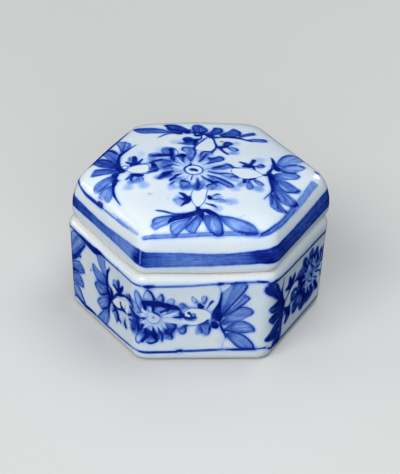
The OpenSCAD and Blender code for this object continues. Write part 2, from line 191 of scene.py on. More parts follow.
P([(6,18.6),(7.2,20.2),(8.6,21.6),(9.6,23.2),(10.4,24.0),(11.4,23.0),(12.4,21.4),(12.2,19.6),(11.4,18.2),(9.4,17.4),(7,17.2)], (5,17), .43,.72,.38)
B([(10.4,23.6,.6),(11.2,22.4,1.0),(12,21,.8),(12.1,19.4,.7),(11.6,18,.6)], .8)
B([(10.2,21.6,.35),(9.4,19.8,.4),(8.2,18.2,.4)], .6)
P([(12.2,18.6),(13.8,20.0),(15.2,20.9),(16.2,21.4),(16.7,20.8),(16.4,19.6),(15.2,18.8),(13.4,17.9),(11.8,17.2)], (10.5,17), .46,.5,.35)
B([(14.2,19.9,.5),(15.4,20.6,.8),(16.3,20.9,.7),(16.4,20.0,.5)], .68)
P([(13.6,15.6),(15.6,16.8),(17.2,17.3),(19,17.5),(19.8,16.8),(19.6,15.6),(18.4,15.0),(16.6,15.0),(14.8,15.0)], (11,16.8), .42,.5,.35)
B([(18.2,16.9,.6),(19.3,16.9,.8),(19.5,16,.6)], .6)
B([(4.6,16.8,1.0),(6.4,17.0,.9),(8.4,17.1,1.1),(10.5,16.9,1.4),(12.4,16.2,1.0),(14.0,15.3,.7),(15,14.7,.4)], .93)
B([(-7.6,21.3,.6),(-6.4,20.7,1.4),(-5.5,20.2,1.3),(-4.9,21,.8)], .93)
B([(-2.6,21.6,1.0),(-3.2,20.9,1.3),(-3.9,21.2,.9)], .93)
B([(-7,21.8,.5),(-5,21.8,.6),(-3,21.9,.7),(-1.4,21.4,.8),(.4,20.4,1.1),(1.8,19.3,1.5),(3.0,18.1,2.2),(3.9,17.0,1.7),(5.0,16.8,1.0)], .93)
B([(-1.3,21.0,.6),(-1.1,19.8,.6),(-.7,18.5,1.4),(.3,18.9,1.3)], .93)
B([(.9,19.4,.5),(.7,17.4,.5),(.5,16.2,.5),(-.2,15.2,.9)], .9)
W([(1.5,18.9),(1.0,18.0),(1.1,17.0),(1.7,16.9),(2.0,17.8)], 0,.1)
B([(-12.0,17.4,.2),(-11.2,18.2,.5),(-10,19.4,.65),(-8.6,20.3,.7),(-7,20.7,.8)], .85)
W([(2.6,16.2),(3.8,15.4),(4.2,13),(4.4,11),(4.0,9.2),(3.2,7.8),(2.4,7.3),(1.0,7.5),(-0.4,7.5),(-1.2,8.2),(-1.6,9.4),(-1.2,10.8),(-0.3,12.4),(0.7,13.8),(1.6,15.3)], .5,.3)
B([(3.9,16.4,.8),(4.2,14.6,.6),(4.4,12.5,.6),(4.7,10.6,.9),(4.3,9,.6),(3.6,7.6,.7),(3.1,6.2,.5),(3.1,5.2,.2)], .84)
B([(2.0,16.7,.3),(1.2,15.1,.5),(.2,13.5,.5),(-.8,12,.6),(-1.6,10.4,.7),(-2.0,9.2,.9)], .82)
P([(-4.8,14.6),(-4.8,16.2),(-3.9,17.2),(-2.8,17.2),(-2.0,16.2),(-1.8,14.8),(-2.6,13.2),(-4,13.2)], (-1,14.5), .68,.8,.45)
B([(-3.4,14.4,1.6),(-2.4,14.8,1.6),(-1.2,15.0,1.5),(-.2,15.3,1.1)], .87)
B([(-1.0,15.2,1.3),(-1.3,13.8,1.7),(-1.6,12.4,1.2),(-1.7,11.2,.6)], .9)
P([(-5.2,13),(-4.6,11.8),(-3,11.4),(-1.8,12),(-2.2,13.2),(-4,13.6)], (-1.4,13), .36,.3,.3)
B([(-6.2,12.9,.6),(-5.5,12.8,.8),(-4.8,13.2,.5)], .62)
P([(8.2,10),(9.6,10.2),(10.6,9.6),(10.9,8.4),(10,7.7),(8.8,8.0),(8,9)], (7.4,9.8), .28,.5,.35)
B([(9.4,10,.4),(10.4,9.3,.7),(10.6,8.5,.8),(10.0,7.9,.4)], .72)
P([(6.6,11.6),(6.9,13),(7.6,13.8),(8.6,13.7),(9.4,13),(9.3,12),(8.4,11.4),(7.6,11.0)], (7.2,10.5), .5,.7,.4)
B([(8.2,13.4,.7),(8.9,12.9,1.1),(9.0,12.2,.9)], .86)
B([(5.1,10.1,1.1),(6.4,10.2,1.6),(7.4,10.6,1.8),(7.9,11,1.0)], .92)
B([(5.7,9.3,1.5),(6.2,7.9,.9),(6.9,6.7,1.0),(7.6,5.8,.9)], .8)

# the tips of the back arm stay a little short of the edge
def eased(x, y):
    t = min(1., max(0., (y - 16.) / 4.4))
    if t == 0: return y
    k = math.exp(-((x + 1.) / 12.) ** 2)
    e = y - .7 * t if y < 20.4 else 19.7 + (y - 20.4) * .64
    return y + k * (e - y)
for i, sh in enumerate(TOP):
    if i >= BACK_ARM and sh[0] != 'H':
        TOP[i] = (sh[0], [(p[0], eased(p[0], p[1])) + tuple(p[2:]) for p in sh[1]]) + tuple(sh[2:])
        if sh[0] == 'P': TOP[i] = TOP[i][:3] + (min(.7, sh[3] * 1.38), min(.9, sh[4] * 1.2), sh[5])

def gap(x0, y0, x1, y1, w, s=TOP):
    dx, dy = x1 - x0, y1 - y0
    n = math.hypot(dx, dy); nx, ny = -dy / n * w / 2, dx / n * w / 2
    W([(x0, y0), (x0 + dx * .3 + nx * .8, y0 + dy * .3 + ny * .8), (x0 + dx * .65 + nx, y0 + dy * .65 + ny), (x1, y1),
       (x0 + dx * .65 - nx, y0 + dy * .65 - ny), (x0 + dx * .3 - nx * .8, y0 + dy * .3 - ny * .8)], 0, .1, s=s)
# flower in the middle
H(-11.6,.4,1.7,3.2,0,.22); H(-9.6,2.6,1.8,1.4,0,.24); H(-6.9,.4,1.6,2.6,35,.14); H(-7.2,-4.6,1.8,1.2,30,.26); H(-12.2,-6.6,1.8,1.4,0,.30); H(-9.2,-12,1.4,1.8,0,.22); H(-5.4,-12.4,2.0,1.6,0,.26); H(3.8,-12.6,1.8,1.6,0,.26); H(8.6,-13,1.6,1.6,0,.18); H(-14.2,4,1.4,1.4,0,.30)
H(-2.3,-12.4,2.8,1.8,0,.28); H(7.5,-8.2,2.6,1.0,-25,.24); H(4.2,-2.6,3.2,2.2,0,.12); H(.4,3.4,2.0,2.6,-20,.18); H(3.6,2.4,2.2,1.6,20,.20); H(-4.6,3.6,1.6,2.6,20,.24); H(1.6,-9.2,2.4,1.4,-35,.26); H(-7.4,-8.4,1.6,1.6,0,.24)
H(-10.3,-.4,1.5,3.2,0,.22)
B([(-11.9,2.6,.6),(-11.5,.6,.9),(-11.4,-1.8,.6)], .27)
B([(-10.6,3.0,.7),(-10.4,1.4,.9)], .40)
B([(-10.6,-1.6,.5),(-10.2,-3.0,.7)], .36)
B([(-10.7,1.1,.7),(-10.1,.5,1.3),(-9.7,-.1,1.1),(-9.3,-.8,.6)], .60)
B([(-11.8,1.4,.3),(-11.6,-.4,.4),(-11.5,-2.2,.3)], .34)
B([(-9.3,-1.4,.5),(-8.9,-2.2,.8),(-8.5,-3.2,.5)], .50)
P([(-3.2,1.2),(-4.0,3.0),(-4.2,5.0),(-4.4,6.6),(-5.4,7.8),(-5.5,9.4),(-4.8,10.4),(-3.6,10.3),(-2.6,9.6),(-2.0,8.4),(-1.6,6.8),(-1.9,4.8),(-2.6,2.6)], (-3,-1), .30,.5,.35)
B([(-2.2,9.6,.8),(-1.8,8,.7),(-1.6,6.6,.6),(-2.0,4.4,.5),(-2.8,1.8,.3)], .84)
B([(-5.3,8.4,.6),(-5.1,9.7,.7),(-4,10.2,.6),(-3,9.8,.4)], .78)
B([(-3.4,9.6,.5),(-3.1,7.5,.6),(-2.9,5.4,.4)], .6)
P([(-1.2,0.6),(-0.6,2.4),(-0.6,4.4),(-0.2,6.0),(0.8,7.2),(2.0,7.3),(3.0,6.6),(2.6,5.6),(1.6,4.2),(0.8,2.6),(-0.2,1.2)], (-2,-1), .30,.45,.3)
B([(-.4,4.9,.5),(.3,6.6,.7),(1.6,7.1,.8),(2.8,6.8,.9)], .84)
B([(-.6,1.2,.4),(.3,3.0,.8),(1.1,4.6,.7),(1.7,5.8,.4)], .86)
P([(1.4,-0.2),(2.6,0.2),(4.6,1.0),(5.8,1.6),(6.3,2.6),(6.0,3.8),(5.0,4.2),(3.6,3.4),(2.6,2.6),(1.8,3.4),(1.7,2.4),(2.2,1.4)], (0,-1.5), .40,.3,.3)
B([(1.8,3.5,.5),(2.4,2.7,.9),(3.4,2.9,.9),(4.4,3.6,.7),(5.2,3.9,.9),(6.0,3.3,.7),(6.1,2.4,.6),(5.2,1.5,.5),(4.0,1.0,.5),(2.8,.4,.7),(1.8,.1,.8),(1.4,-.3,.4)], .88)
B([(3.0,1.6,.5),(4.2,2.3,.7)], .7)
P([(2.4,-3.2),(3.0,-2.0),(4.4,-1.2),(5.8,-0.6),(7.0,0),(7.9,-0.4),(8.6,-1.4),(8.8,-2.4),(7.4,-2.6),(6.2,-3.2),(4.6,-3.4)], (0,-3.4), .34,.45,.35)
B([(3.2,-3.1,.2),(5.2,-2.6,.3),(7.2,-1.9,.3),(8.4,-2.0,.2)], .52)
B([(2.6,-3.0,.4),(3.4,-2.4,.8),(4.8,-1.9,1.1),(6.4,-1.0,.7)], .86)
B([(6.8,-.1,.6),(7.7,-.6,.8),(8.4,-1.5,.9),(9.0,-2.1,.6),(10.2,-2.1,.4)], .86)
B([(5.6,-3.2,.3),(6.8,-2.5,.4)], .5)
P([(1.4,-4.4),(3.0,-4.8),(5.0,-5.2),(6.6,-5.0),(8.0,-5.4),(9.2,-6.2),(9.9,-7.4),(8.6,-7.8),(7.2,-7.6),(5.6,-7.0),(4.4,-6.2),(2.6,-5.6)], (0,-4), .28,.42,.3)
B([(3.4,-5.6,.2),(5.4,-6.2,.3),(7.4,-6.4,.3)], .46)
B([(1.6,-4.6,.5),(3.2,-5.1,.8),(4.6,-5.5,.9),(6.4,-5.3,.7),(8,-5.7,.5),(9.2,-6.6,.6),(9.7,-7.5,.8)], .8)
B([(7.6,-6.9,.5),(8.6,-6.9,.7),(9.2,-7.2,.7)], .76)
P([(1.2,-6.4),(3.0,-7.0),(5.0,-8.0),(6.6,-9.3),(7.8,-10.6),(8.3,-11.8),(7.6,-12.6),(6.6,-12.4),(5.4,-11.2),(4.2,-10.4),(3.2,-9.4),(2.0,-8.0)], (-1,-5), .40,.5,.35)
B([(1.2,-6.4,.5),(3.2,-7.4,.8),(5,-8.6,1.0),(6.4,-9.8,.9),(7.6,-11,.6),(8.0,-12.1,.5)], .84)
B([(4.4,-10.2,1.0),(5.4,-11.1,.7),(6.0,-11.8,.5),(6.7,-12.5,.5)], .78)
B([(5.0,-9.6,.3),(6.2,-10.7,.3),(7.0,-11.6,.25)], .62)
P([(2.6,-10.8),(1.6,-11),(0.8,-12),(0.6,-13),(1.2,-14),(2.2,-14),(3.0,-13.2),(3.6,-12.2),(3.4,-11)], (2.6,-9.6), .26,.5,.3)
B([(-.4,-6.9,.4),(.4,-8.0,.9),(1.6,-9.2,1.0),(2.8,-10.2,1.4),(3.7,-9.9,1.3)], .9)
B([(2.2,-10.9,.7),(1.2,-11.4,.8),(.6,-12.2,.7)], .82)
B([(2.0,-12.2,.4),(2.2,-13.4,.6)], .6)
P([(-1.8,-8),(-1.2,-9.6),(-0.4,-9.2),(0.4,-10.6),(-0.2,-12.4),(-1.0,-13.6),(-2.4,-14.2),(-3.2,-13.4),(-3.4,-12.4),(-2.6,-10.8),(-2.2,-9.2)], (-2,-6), .24,.2,.3)
B([(-1.9,-8.2,.3),(-1.8,-9.4,.6),(-1.7,-11,.9),(-1.8,-12.4,.8),(-2.5,-13.6,.5)], .74)
B([(-.6,-10,.3),(-.5,-11.6,.4),(-.9,-13,.3)], .42)
P([(-5.2,-7.0),(-5.8,-8.2),(-6.8,-9.4),(-7.2,-10.6),(-6.8,-12.2),(-6.2,-13.6),(-5.2,-12.8),(-4.2,-11.6),(-3.8,-10.4),(-4.2,-9.2),(-5.2,-8.9)], (-5,-6), .30,.45,.3)
B([(-5.3,-7.1,.4),(-5.9,-8.2,.9),(-6.2,-9.3,1.2),(-5.3,-9.5,.9),(-4.4,-10.1,.6),(-4.1,-11.3,.4)], .82)
B([(-5.4,-10.4,.3),(-5.3,-12.2,.4)], .5)
B([(-6.4,-10.6,.5),(-6.4,-12,.6),(-6.2,-13.4,.4)], .72)
B([(-6.2,-5.5,.3),(-7.2,-5.8,1.2),(-7.6,-6.6,1.6),(-8.4,-7.4,1.4),(-9.2,-8.2,1.2),(-9.6,-8.9,.4)], .9)
B([(-8.4,-9.4,.7),(-9.0,-10,.8),(-9.6,-10.8,.5)], .74)
P([(-9.0,-5.6),(-8.8,-6.2),(-9.8,-7.2),(-10.8,-7.0),(-10.6,-6.2)], (-8,-5), .38,.1,.3)
P([(-9,-3.6),(-9.2,-5.4),(-10.4,-6.2),(-12,-7.0),(-13,-7.4),(-12.6,-6.4),(-12.0,-5.0),(-11,-4)], (-7,-4), .56,.3,.3)
B([(-7.0,-3.7,.3),(-8.2,-3.3,.9),(-9.2,-4,1.2)], .82)
B([(-9.3,-4.4,1.0),(-10.2,-4.8,2.2),(-11,-5.0,1.8),(-11.4,-5.6,1.0)], .92)
B([(-9.6,-6.0,.3),(-11,-6.6,.6),(-12.2,-7.1,1.0),(-12.8,-7.0,.4)], .8)
B([(-6.4,-.9,.3),(-7.2,.5,.5),(-8.0,1.5,.8),(-8.3,2.6,.8)], .70)
B([(-7.0,-2.2,.3),(-8.2,-1.6,.6),(-8.9,-1.0,.6)], .55)
B([(-11.4,3.4,.6),(-12.2,3.0,1.1),(-13.2,2.4,1.2),(-13.9,2.8,.6)], .9)
B([(-14.3,1.7,1.0),(-13.9,.5,1.5),(-13.7,-.7,1.9)], .90)
P([(-15,-1.0),(-12.8,-1.2),(-12.6,-2.6),(-15,-2.7)], (-13.8,0), .56,.1,.3)
B([(-15.4,-3.4,.6),(-14.2,-3.2,1.1),(-13.3,-3,1.3),(-12.8,-2.2,.8)], .82)
B([(-16,1.4,.4),(-14.2,1.5,.6)], .68)
P([(-6.2,5.2),(-5.0,3.4),(-5.2,1.4),(-5.8,.8),(-6.6,2.6),(-7.6,4.2)], (-4.6,-1), .38,.1,.3)
B([(-8.4,4.6,1.5),(-8.3,3.2,1.5),(-8.0,2.2,.8)], .86)
B([(-5.4,3.4,.8),(-5.5,2.2,.5),(-5.1,.6,.25)], .8)
B([(-7.4,4.9,.8),(-6.2,4.8,1.6),(-5.4,5.0,2.2),(-5.0,4.3,1.3),(-5.6,3.7,.6)], .95)
P([(-8.0,5.4),(-7.6,7.4),(-7.2,9),(-8,10.1),(-9.4,10.6),(-10.8,10.2),(-11.4,9),(-11.2,7.4),(-10.6,6)], (-8.6,4), .42,.6,.4)
P([(-15.2,6.6),(-14.6,7.4),(-13,7.5),(-11.6,7.0),(-10.6,5.6),(-11.6,4.8),(-13.4,4.8),(-14.8,4.9)], (-9.5,5), .38,.5,.4)
B([(-8.6,9.1,1.7),(-8.5,7.6,1.2),(-8.5,6,1.4)], .92)
B([(-14.0,5.9,1.0),(-12.4,5.9,1.7),(-11,5.7,2.0),(-9.6,5.6,1.8),(-8.6,5.2,1.2)], .91)
B([(-7.3,9.2,.3),(-6.9,8,.4),(-6.6,6.8,.4),(-6.8,5.8,.5)], .5)
B([(-11.2,2.9,.7),(-12.8,2.5,1.1),(-14.7,1.9,.8)], .84)
B([(-8.5,-.1,.6),(-9.6,-.7,1.3),(-10.8,-1.2,1.0)], .78)
B([(-8.7,-2.2,.5),(-10.4,-2.0,.8),(-12,-1.7,.5)], .60)
B([(-8.4,1.4,.5),(-9.3,1.9,1.0),(-10.3,2.3,.7)], .74)
B([(-7.3,-.9,.4),(-8.1,-.1,.6),(-8.9,.7,.5)], .66)
B([(-1.6,-10.0,.6),(-1.8,-11.6,1.4),(-2.1,-13.1,.9)], .84)
for q in ((-5.1, -.9, -7.1, 3.8, .5), (-5.4, -1.8, -8.4, 1.2, .5), (-5.7, -2.7, -8.7, -1.1, .5), (-5.8, -3.7, -8.9, -3.1, .45), (-5.6, -4.7, -8.6, -5.3, .5),
          (-5.2, -5.6, -7.8, -7.3, .5), (-4.5, -6.2, -6.2, -8.6, .45), (-3.7, -6.6, -4.1, -9.6, .5), (-1.5, -6.3, -.6, -9.2, .5), (-.5, -5.7, 1.1, -8.4, .45)):
    gap(*q)
# its eye
W([(-2.6,-1.0),(-4.2,-1.3),(-5.2,-2.6),(-5.2,-4.2),(-4.3,-5.5),(-2.8,-6.1),(-1.2,-5.8),(-.1,-4.7),(0,-3.1),(-.6,-1.8),(-1.5,-1.2)], .0,.3)
B([(-3.8,-3.0,.5),(-3.4,-3.6,.9),(-2.6,-3.9,.7)], .42)
B([(-3.4,-3.0,.5),(-2.8,-3.2,1.1),(-2.1,-3.7,1.2),(-1.7,-4.3,.6)], .86)
H(-2.7,-3.6,1.5,1.1,-25,.8)
B([(-2.4,-1.0,.55),(-1.2,-1.5,.55),(-.3,-2.6,.5),(-.05,-4.0,.5),(-.5,-5.2,.45),(-1.6,-5.9,.4)], .68)
B([(-1.6,-5.9,.35),(-2.8,-6.1,.45),(-4.0,-5.7,.5),(-4.9,-4.7,.6)], .66)
B([(-2.9,-1.0,.5),(-4.0,-1.3,.6),(-4.9,-2.1,.7),(-5.3,-3.2,.65),(-5.0,-4.5,.5)], .82)
B([(-3.3,1.5,.15),(-3.3,.2,.4),(-3.4,-.6,.9),(-3.8,-1.1,.8)], .92)
B([(-3.1,-6.5,.4),(-3.4,-7.6,.5),(-3.7,-9.0,.4)], .68)
B([(-1.9,-7,.2),(-1.9,-8.2,.3)], .4)
B([(.2,-1.0,.4),(1.0,-.2,.5)], .4)
B([(.8,-3.2,.4),(2.0,-3.1,.5),(3.0,-3.0,.5)], .55)
B([(-.6,-.6,.3),(.2,.6,.5),(.9,1.6,.4)], .20)
B([(.6,-2.2,.3),(2.2,-1.2,.5),(3.6,-.6,.4)], .20)
B([(.8,-4.0,.3),(2.6,-4.1,.4),(4.4,-4.3,.3)], .18)
B([(-.9,-6.8,.3),(-.5,-8.0,.4),(.2,-9.0,.3)], .26)
B([(-4.3,-6.4,.3),(-4.6,-7.8,.5),(-4.6,-8.8,.3)], .28)
B([(-5.6,-5.6,.3),(-6.6,-6.8,.4),(-7.2,-8.2,.3)], .22)
B([(-6.2,-3.2,.3),(-7.6,-2.9,.4)], .25)
B([(-5.6,-.6,.3),(-6.4,1.0,.5),(-7.0,2.6,.5)], .26)
B([(-4.4,.4,.3),(-4.8,1.8,.4),(-4.9,3.0,.3)], .25)

BODY = []
def bP(*a, **k): P(*a, s=BODY, **k)
def bB(*a, **k): B(*a, s=BODY, **k)
def bW(*a, **k): W(*a, s=BODY, **k)
def bH(*a, **k): H(*a, s=BODY, **k)
# right arm of the front spray
bH(16.8,10.4,.8,1.3,0,.28); bH(19.0,9.4,1,.8,0,.2); bH(22.8,7,1.2,1.6,0,.06)
bP([(22.4,16.5),(22.6,19),(23.0,21),(23.2,23),(23.8,24.3),(25.0,25.4),(26.0,26.4),(27.4,27.2),(29.2,27.3),(30,26.6),(29.9,25.4),(29.4,24.2),(28.7,23.0),(27.6,21.4),(26.4,19.8),(25.2,18.2),(24.0,16.6),(23,15.6)], (22.4,14), .40,.5,.3)
bB([(30,26,.6),(29.6,24.8,.7),(28.8,23.2,.6),(27.4,21.2,.6),(26,19.2,.6),(24.6,17.2,.7),(23.4,15.8,.9)], .85)
bB([(25.6,26.5,.6),(27.4,26.9,.7),(29.4,26.9,.8)], .74)
bB([(28.2,25.8,.3),(26.8,23.4,.35),(25.4,20.8,.35),(24.2,18.6,.3)], .5)
bP([(24.0,16.0),(25.6,17.8),(27.2,19.8),(28.4,21.6),(29.4,22.9),(30.2,22.4),(30.9,21.6),(30.2,20.6),(29.4,19.6),(28.2,18.4),(26.4,16.8),(24.8,15.6),(23.6,15.2)], (22.8,14.4), .42,.6,.3)
bB([(29.4,22.8,.4),(30.3,22.2,.5),(30.9,21.5,.5),(30.2,20.6,.4),(29.0,19.3,.6),(27.6,18.0,.6),(26,16.7,.6),(24.6,15.8,.5)], .84)
bP([(23.6,14.2),(25.4,16.0),(27.2,17.6),(28.8,18.8),(30.2,18.6),(31.4,18.0),(32.2,16.8),(31.6,15.8),(30.4,15.0),(29,14.2),(27.4,13.8),(25.6,13.0),(24.2,12.4),(23.4,13.2)], (22.4,13.6), .37,.64,.3)
bB([(28.6,18.4,.5),(30.0,18.5,.5),(31.4,17.9,.5),(32.1,16.9,.6),(31.6,16,.4)], .8)
bB([(24.4,13.4,.3),(27,15,.3),(29.8,16.6,.3)], .5)
bP([(24.2,11.2),(25.6,12.2),(27.4,13.4),(28.8,13.8),(30.4,13.4),(31.8,12.4),(32.6,11.2),(33.0,10.2),(31.6,9.9),(29.8,9.9),(28.4,10.0),(26.8,10.4),(25.2,10.6)], (23.4,11.6), .38,.66,.32)
bB([(25,12.2,.3),(27.4,13.5,.5),(28.9,13.8,.5),(30.4,13.4,.5),(31.9,12.3,.5),(32.6,11.2,.7),(32.8,10.4,.5)], .82)
bB([(24.4,10.7,.8),(26.4,10.4,.6),(28.6,9.9,.5),(31,9.9,.4)], .85)
bP([(24.8,9.6),(26.2,10.0),(28,9.8),(29.4,9.2),(31,7.8),(32.2,6.4),(33.0,5.0),(33.2,4.3),(31.4,4.2),(29.8,4.4),(28.6,5.0),(27.2,6.2),(26,7.6),(25,8.8)], (24,10.8), .42,.74,.36)
bB([(28.6,9.6,.4),(30.2,8.6,.5),(31.6,7.2,.5),(32.6,5.8,.6),(33.0,4.6,.7)], .86)
bB([(25,8.8,.4),(26.4,7.2,.5),(28,5.4,.6),(29.6,4.5,.7),(31.6,4.4,.6)], .84)
bB([(27,8.6,.25),(29,7,.3),(31,5.2,.4)], .55)
bB([(22.1,26.7,.3),(22.6,25.2,.3),(23.0,24,.4)], .45)
bB([(23.1,23.5,.5),(23.0,21.4,.8),(22.6,19.4,1.2),(22.2,17.6,2.2),(22.1,16.2,2.9),(22.6,15.2,2.3),(22.7,14.3,1.2)], .94)
bB([(20.9,17.2,.3),(20.9,15.6,.6),(20.8,14.4,.4)], .9)
bB([(21.0,13.4,1.3),(21.6,12.5,2.2),(22,11.9,1.3)], .97)
bB([(21.4,14.9,.8),(21.8,14.3,1.2)], .62)
bB([(22.9,14,.5),(23.4,12,.8),(24.0,10.6,.8),(24.6,9.2,.6),(24.8,8.1,.4)], .86)
bB([(24.6,7.6,.3),(24.2,6.6,.3),(24.0,5.2,.4),(23.9,4.4,.3)], .28)
bP([(17.0,12.6),(18.6,13.4),(19.8,13.6),(20.5,12.2),(20.6,11),(20.0,9.4),(19.2,9.2),(18.4,9.8),(17.8,9.6),(17.2,10.8),(16.9,11.8)], (18.6,13.8), .34,.45,.3)
bB([(17.6,12.2,.5),(18,10.8,.7),(18.2,9.8,.4)], .84)
bB([(20.2,12.2,.7),(20.1,10.8,.8),(19.9,9.5,.5)], .84)
bB([(18.9,12.2,.4),(19.0,11,.4)], .7)
bW([(13.0,16.4),(13.1,17.6),(14.2,18.3),(16,18.4),(18,18.1),(19.5,17.4),(20.4,16.4),(20.3,15.2),(19.4,13.9),(17.8,12.9),(15.6,12.5),(13.6,12.8),(12.4,13.5),(12.6,14.6)], 0,.1)
bB([(12.9,17.2,.3),(14.2,18.3,.36),(16,18.45,.36),(18,18.15,.36),(19.5,17.45,.36),(20.45,16.4,.36),(20.4,15.2,.3)], .50)
bB([(19.6,14.0,.3),(17.8,12.85,.36),(15.6,12.45,.36),(13.8,12.7,.34),(13.0,12.9,.2)], .50)
bB([(17,12.7,.4),(18.6,13.4,.6),(19.6,14.2,.7)], .84)
bP([(12.8,14.8),(14,14.0),(15.6,13.9),(16.6,14.6),(16.6,15.4),(15.9,15.0),(14.2,14.7)], (12,15.4), .3,.3,.25)
bP([(15.4,16.8),(16.2,16.4),(16.4,15.8),(15.6,15.9),(15,16.2)], (14,16), .3,.3,.25)
bB([(14.2,16.8,.9),(14.7,16.3,.6),(15.0,15.6,.6)], .84)
bB([(13.0,15.4,.8),(13.8,15.0,.9),(15,14.9,1.0),(15.9,15.3,.8),(16,15.7,.3)], .9)
bP([(14.9,22.4),(15.4,22.4),(16.2,21.6),(16.7,20.7),(16.2,20.0),(15.4,20.2),(14.9,21)], (17,19.4), .13,.5,.3)
bP([(17.6,22),(18.2,22.6),(19,22.6),(19.3,21.6),(18.8,20.2),(18.0,20.0),(17.7,21)], (17.8,19), .17,.5,.3)
bB([(19,22,.4),(18.9,20.8,.5),(18.4,19.8,.5)], .74)
bB([(16.4,20.3,.5),(16,21,.3)], .6)
bB([(20.7,20.7,.8),(20.2,20.1,.7),(19.6,19,.4),(19.2,18.2,.3)], .8)
bB([(17.1,19.6,1.2),(17.4,18.9,1.5),(17.9,18.8,1.2)], .93)
bP([(11.4,19.6),(12.2,20.2),(13.2,19.9),(13.6,19.0),(13.2,18.4),(12.4,18.0),(12,18.8)], (12,17.4), .4,.4,.3)
bB([(12.2,20.0,.5),(13.1,19.3,.6),(13.9,18.7,.4)], .74)
bB([(13.6,18.7,.4),(15,18.5,.3),(16.8,18.5,.4)], .62)
bP([(11.2,11.4),(12.2,11.8),(13.2,11.4),(13.2,10),(12.4,9.4),(11.4,10)], (12,12.6), .36,.3,.3)
bB([(14.0,12.4,.5),(13.2,12.3,.9),(12.3,11.9,.5)], .85)
bB([(13.2,12.2,.9),(13.5,11,.6),(13.2,10.0,.6),(12.4,9.6,.4)], .84)
# flower of the front spray
bH(4.5,15,3.2,2.6,0,.10); bH(3.4,9.4,3.0,1.7,0,.48); bH(8.4,10.4,2.0,2.0,0,.46); bH(-.1,12.6,1.0,2.2,0,.42); bH(-1.8,14,2.2,4,0,.2); bH(8.6,17.6,2.4,1.2,15,.26); bH(4.6,19.4,3.4,.8,0,.2)
bP([(1.4,21.6),(1.6,23),(2.2,24.4),(3.0,24.9),(3.8,24.2),(4.4,22.8),(4.6,21.4),(4.0,20.6),(2.4,20.8)], (3,18), .20,.5,.3)
bB([(2.6,24.7,.5),(3.4,24.2,.8),(4.1,22.9,.7),(4.6,21.4,.9)], .86)
bP([(5.0,21.4),(5.4,22.2),(6.0,22.8),(6.6,23.4),(7.2,22.8),(7.3,21.6),(6.8,20.8),(5.6,20.8)], (5.6,18), .22,.4,.3)
bB([(6.6,23.1,.6),(7.0,22,.7),(7.0,21,.9)], .86)
bP([(8.0,20.6),(8.4,21.4),(9.2,21.9),(10,21.6),(10.3,20.8),(10,19.9),(9,19.8),(8.2,19.9)], (8,18), .15,.42,.3)
bB([(9.8,21.4,.4),(10.1,20.5,.5),(9.9,19.7,.6)], .5)
bP([(8.0,16.4),(9.2,17.3),(10.4,17.9),(11.4,17.6),(11.3,16.4),(10.4,15.8),(9,15.8)], (6,15.5), .12,.2,.3)
bB([(1.8,20.8,.7),(1.9,19.6,1.2),(2,18.4,1.0),(2.2,17.7,.4)], .93)
bB([(1.7,20.3,1.7),(3.2,20.2,1.9),(4.8,20.0,2.1),(6.2,19.8,2.0),(7.6,19.4,1.8),(9,18.9,1.8),(10.3,18.6,1.7),(11.4,18.2,1.0)], .93)
bB([(4.4,20,1.3),(4.3,18.6,1.1),(4.2,17.5,1.0)], .93)
bB([(6.6,17.0,1.0),(7.6,17.4,1.4),(8.6,18.2,1.1),(9.6,18.6,1.3)], .9)
bP([(2.8,19.2),(3.4,19.6),(3.8,19),(3.7,17.8),(3.0,17.4),(2.6,18.2)], (3.6,15), .10,.34,.28)
bP([(5.0,18.8),(5.5,19.3),(6.6,19.1),(7.6,18.7),(6.9,17.9),(6.2,17.2),(5.4,17.2),(4.9,17.9)], (5,15), .10,.42,.3)
bB([(5.3,17.6,.3),(5.4,18.4,.35),(6.0,18.7,.25)], .42)
bB([(5.5,18.8,.4),(5.7,18.2,.3)], .5)
bB([(11.4,18.5,.6),(11.9,17.6,.6),(12.0,16.6,1.0),(12.3,16.0,1.6),(12.0,15.4,1.1)], .92)
bB([(9.8,15.3,.3),(11,15.3,.8),(12,15.5,1.2)], .88)
bB([(7.6,15.3,.3),(9.8,15.3,.3)], .3)
bP([(-1.2,22),(-1.1,23.4),(-0.5,24.1),(0.2,23.4),(0.8,22),(1.2,20.8),(1.2,19.4),(0.9,18.2),(0.4,17.6),(-.2,18.4),(-.6,19.6),(-.9,20.8)], (2,16), .16,.2,.3)
bB([(-.5,24,.3),(-1.1,22.8,.4),(-1,21.4,.4),(-.6,20,.5),(0,18.8,.6),(.4,17.8,.7),(1.0,16.8,.6)], .66)
bB([(-.4,24,.3),(.2,23.3,.5),(.8,21.8,.6),(1.4,20.8,.5)], .7)
bP([(-2.6,20),(-2.2,20.4),(-1.2,20.1),(-.4,19),(.2,17.4),(.6,16.4),(-.4,16.4),(-1.4,17.2),(-2.2,18.6)], (2,15.4), .15,.34,.3)
bP([(-3,15.6),(-1.6,15.2),(-.9,13.4),(-.8,11.4),(-1.2,10),(-2.2,9.6),(-3.0,10),(-2.6,11.6),(-2.2,13.4)], (1,14), .5,.3,.3)
bB([(-1.4,15.4,1.0),(-.6,15.0,1.6),(.2,14.8,1.2)], .93)
bB([(.2,14.8,.6),(.9,14.9,.6),(1.8,15,1.0),(2.2,15,.7)], .88)
bB([(-.4,14.2,1.2),(-.1,12.4,1.3),(0,10.8,1.0),(-.2,9.6,.5)], .92)
bB([(.8,13.2,.6),(1.2,12.6,1.1),(.9,11.6,1.1),(.6,10.6,.7)], .86)
bB([(-2.7,10.1,.5),(-1.9,10.0,.9),(-1.0,10.6,.6)], .84)
bB([(1.7,11.5,1.2),(3.0,10.4,1.8),(4.8,9.9,1.8),(6.6,10.0,1.8),(8.2,10.6,1.8),(9.4,11.8,1.3)], .58)
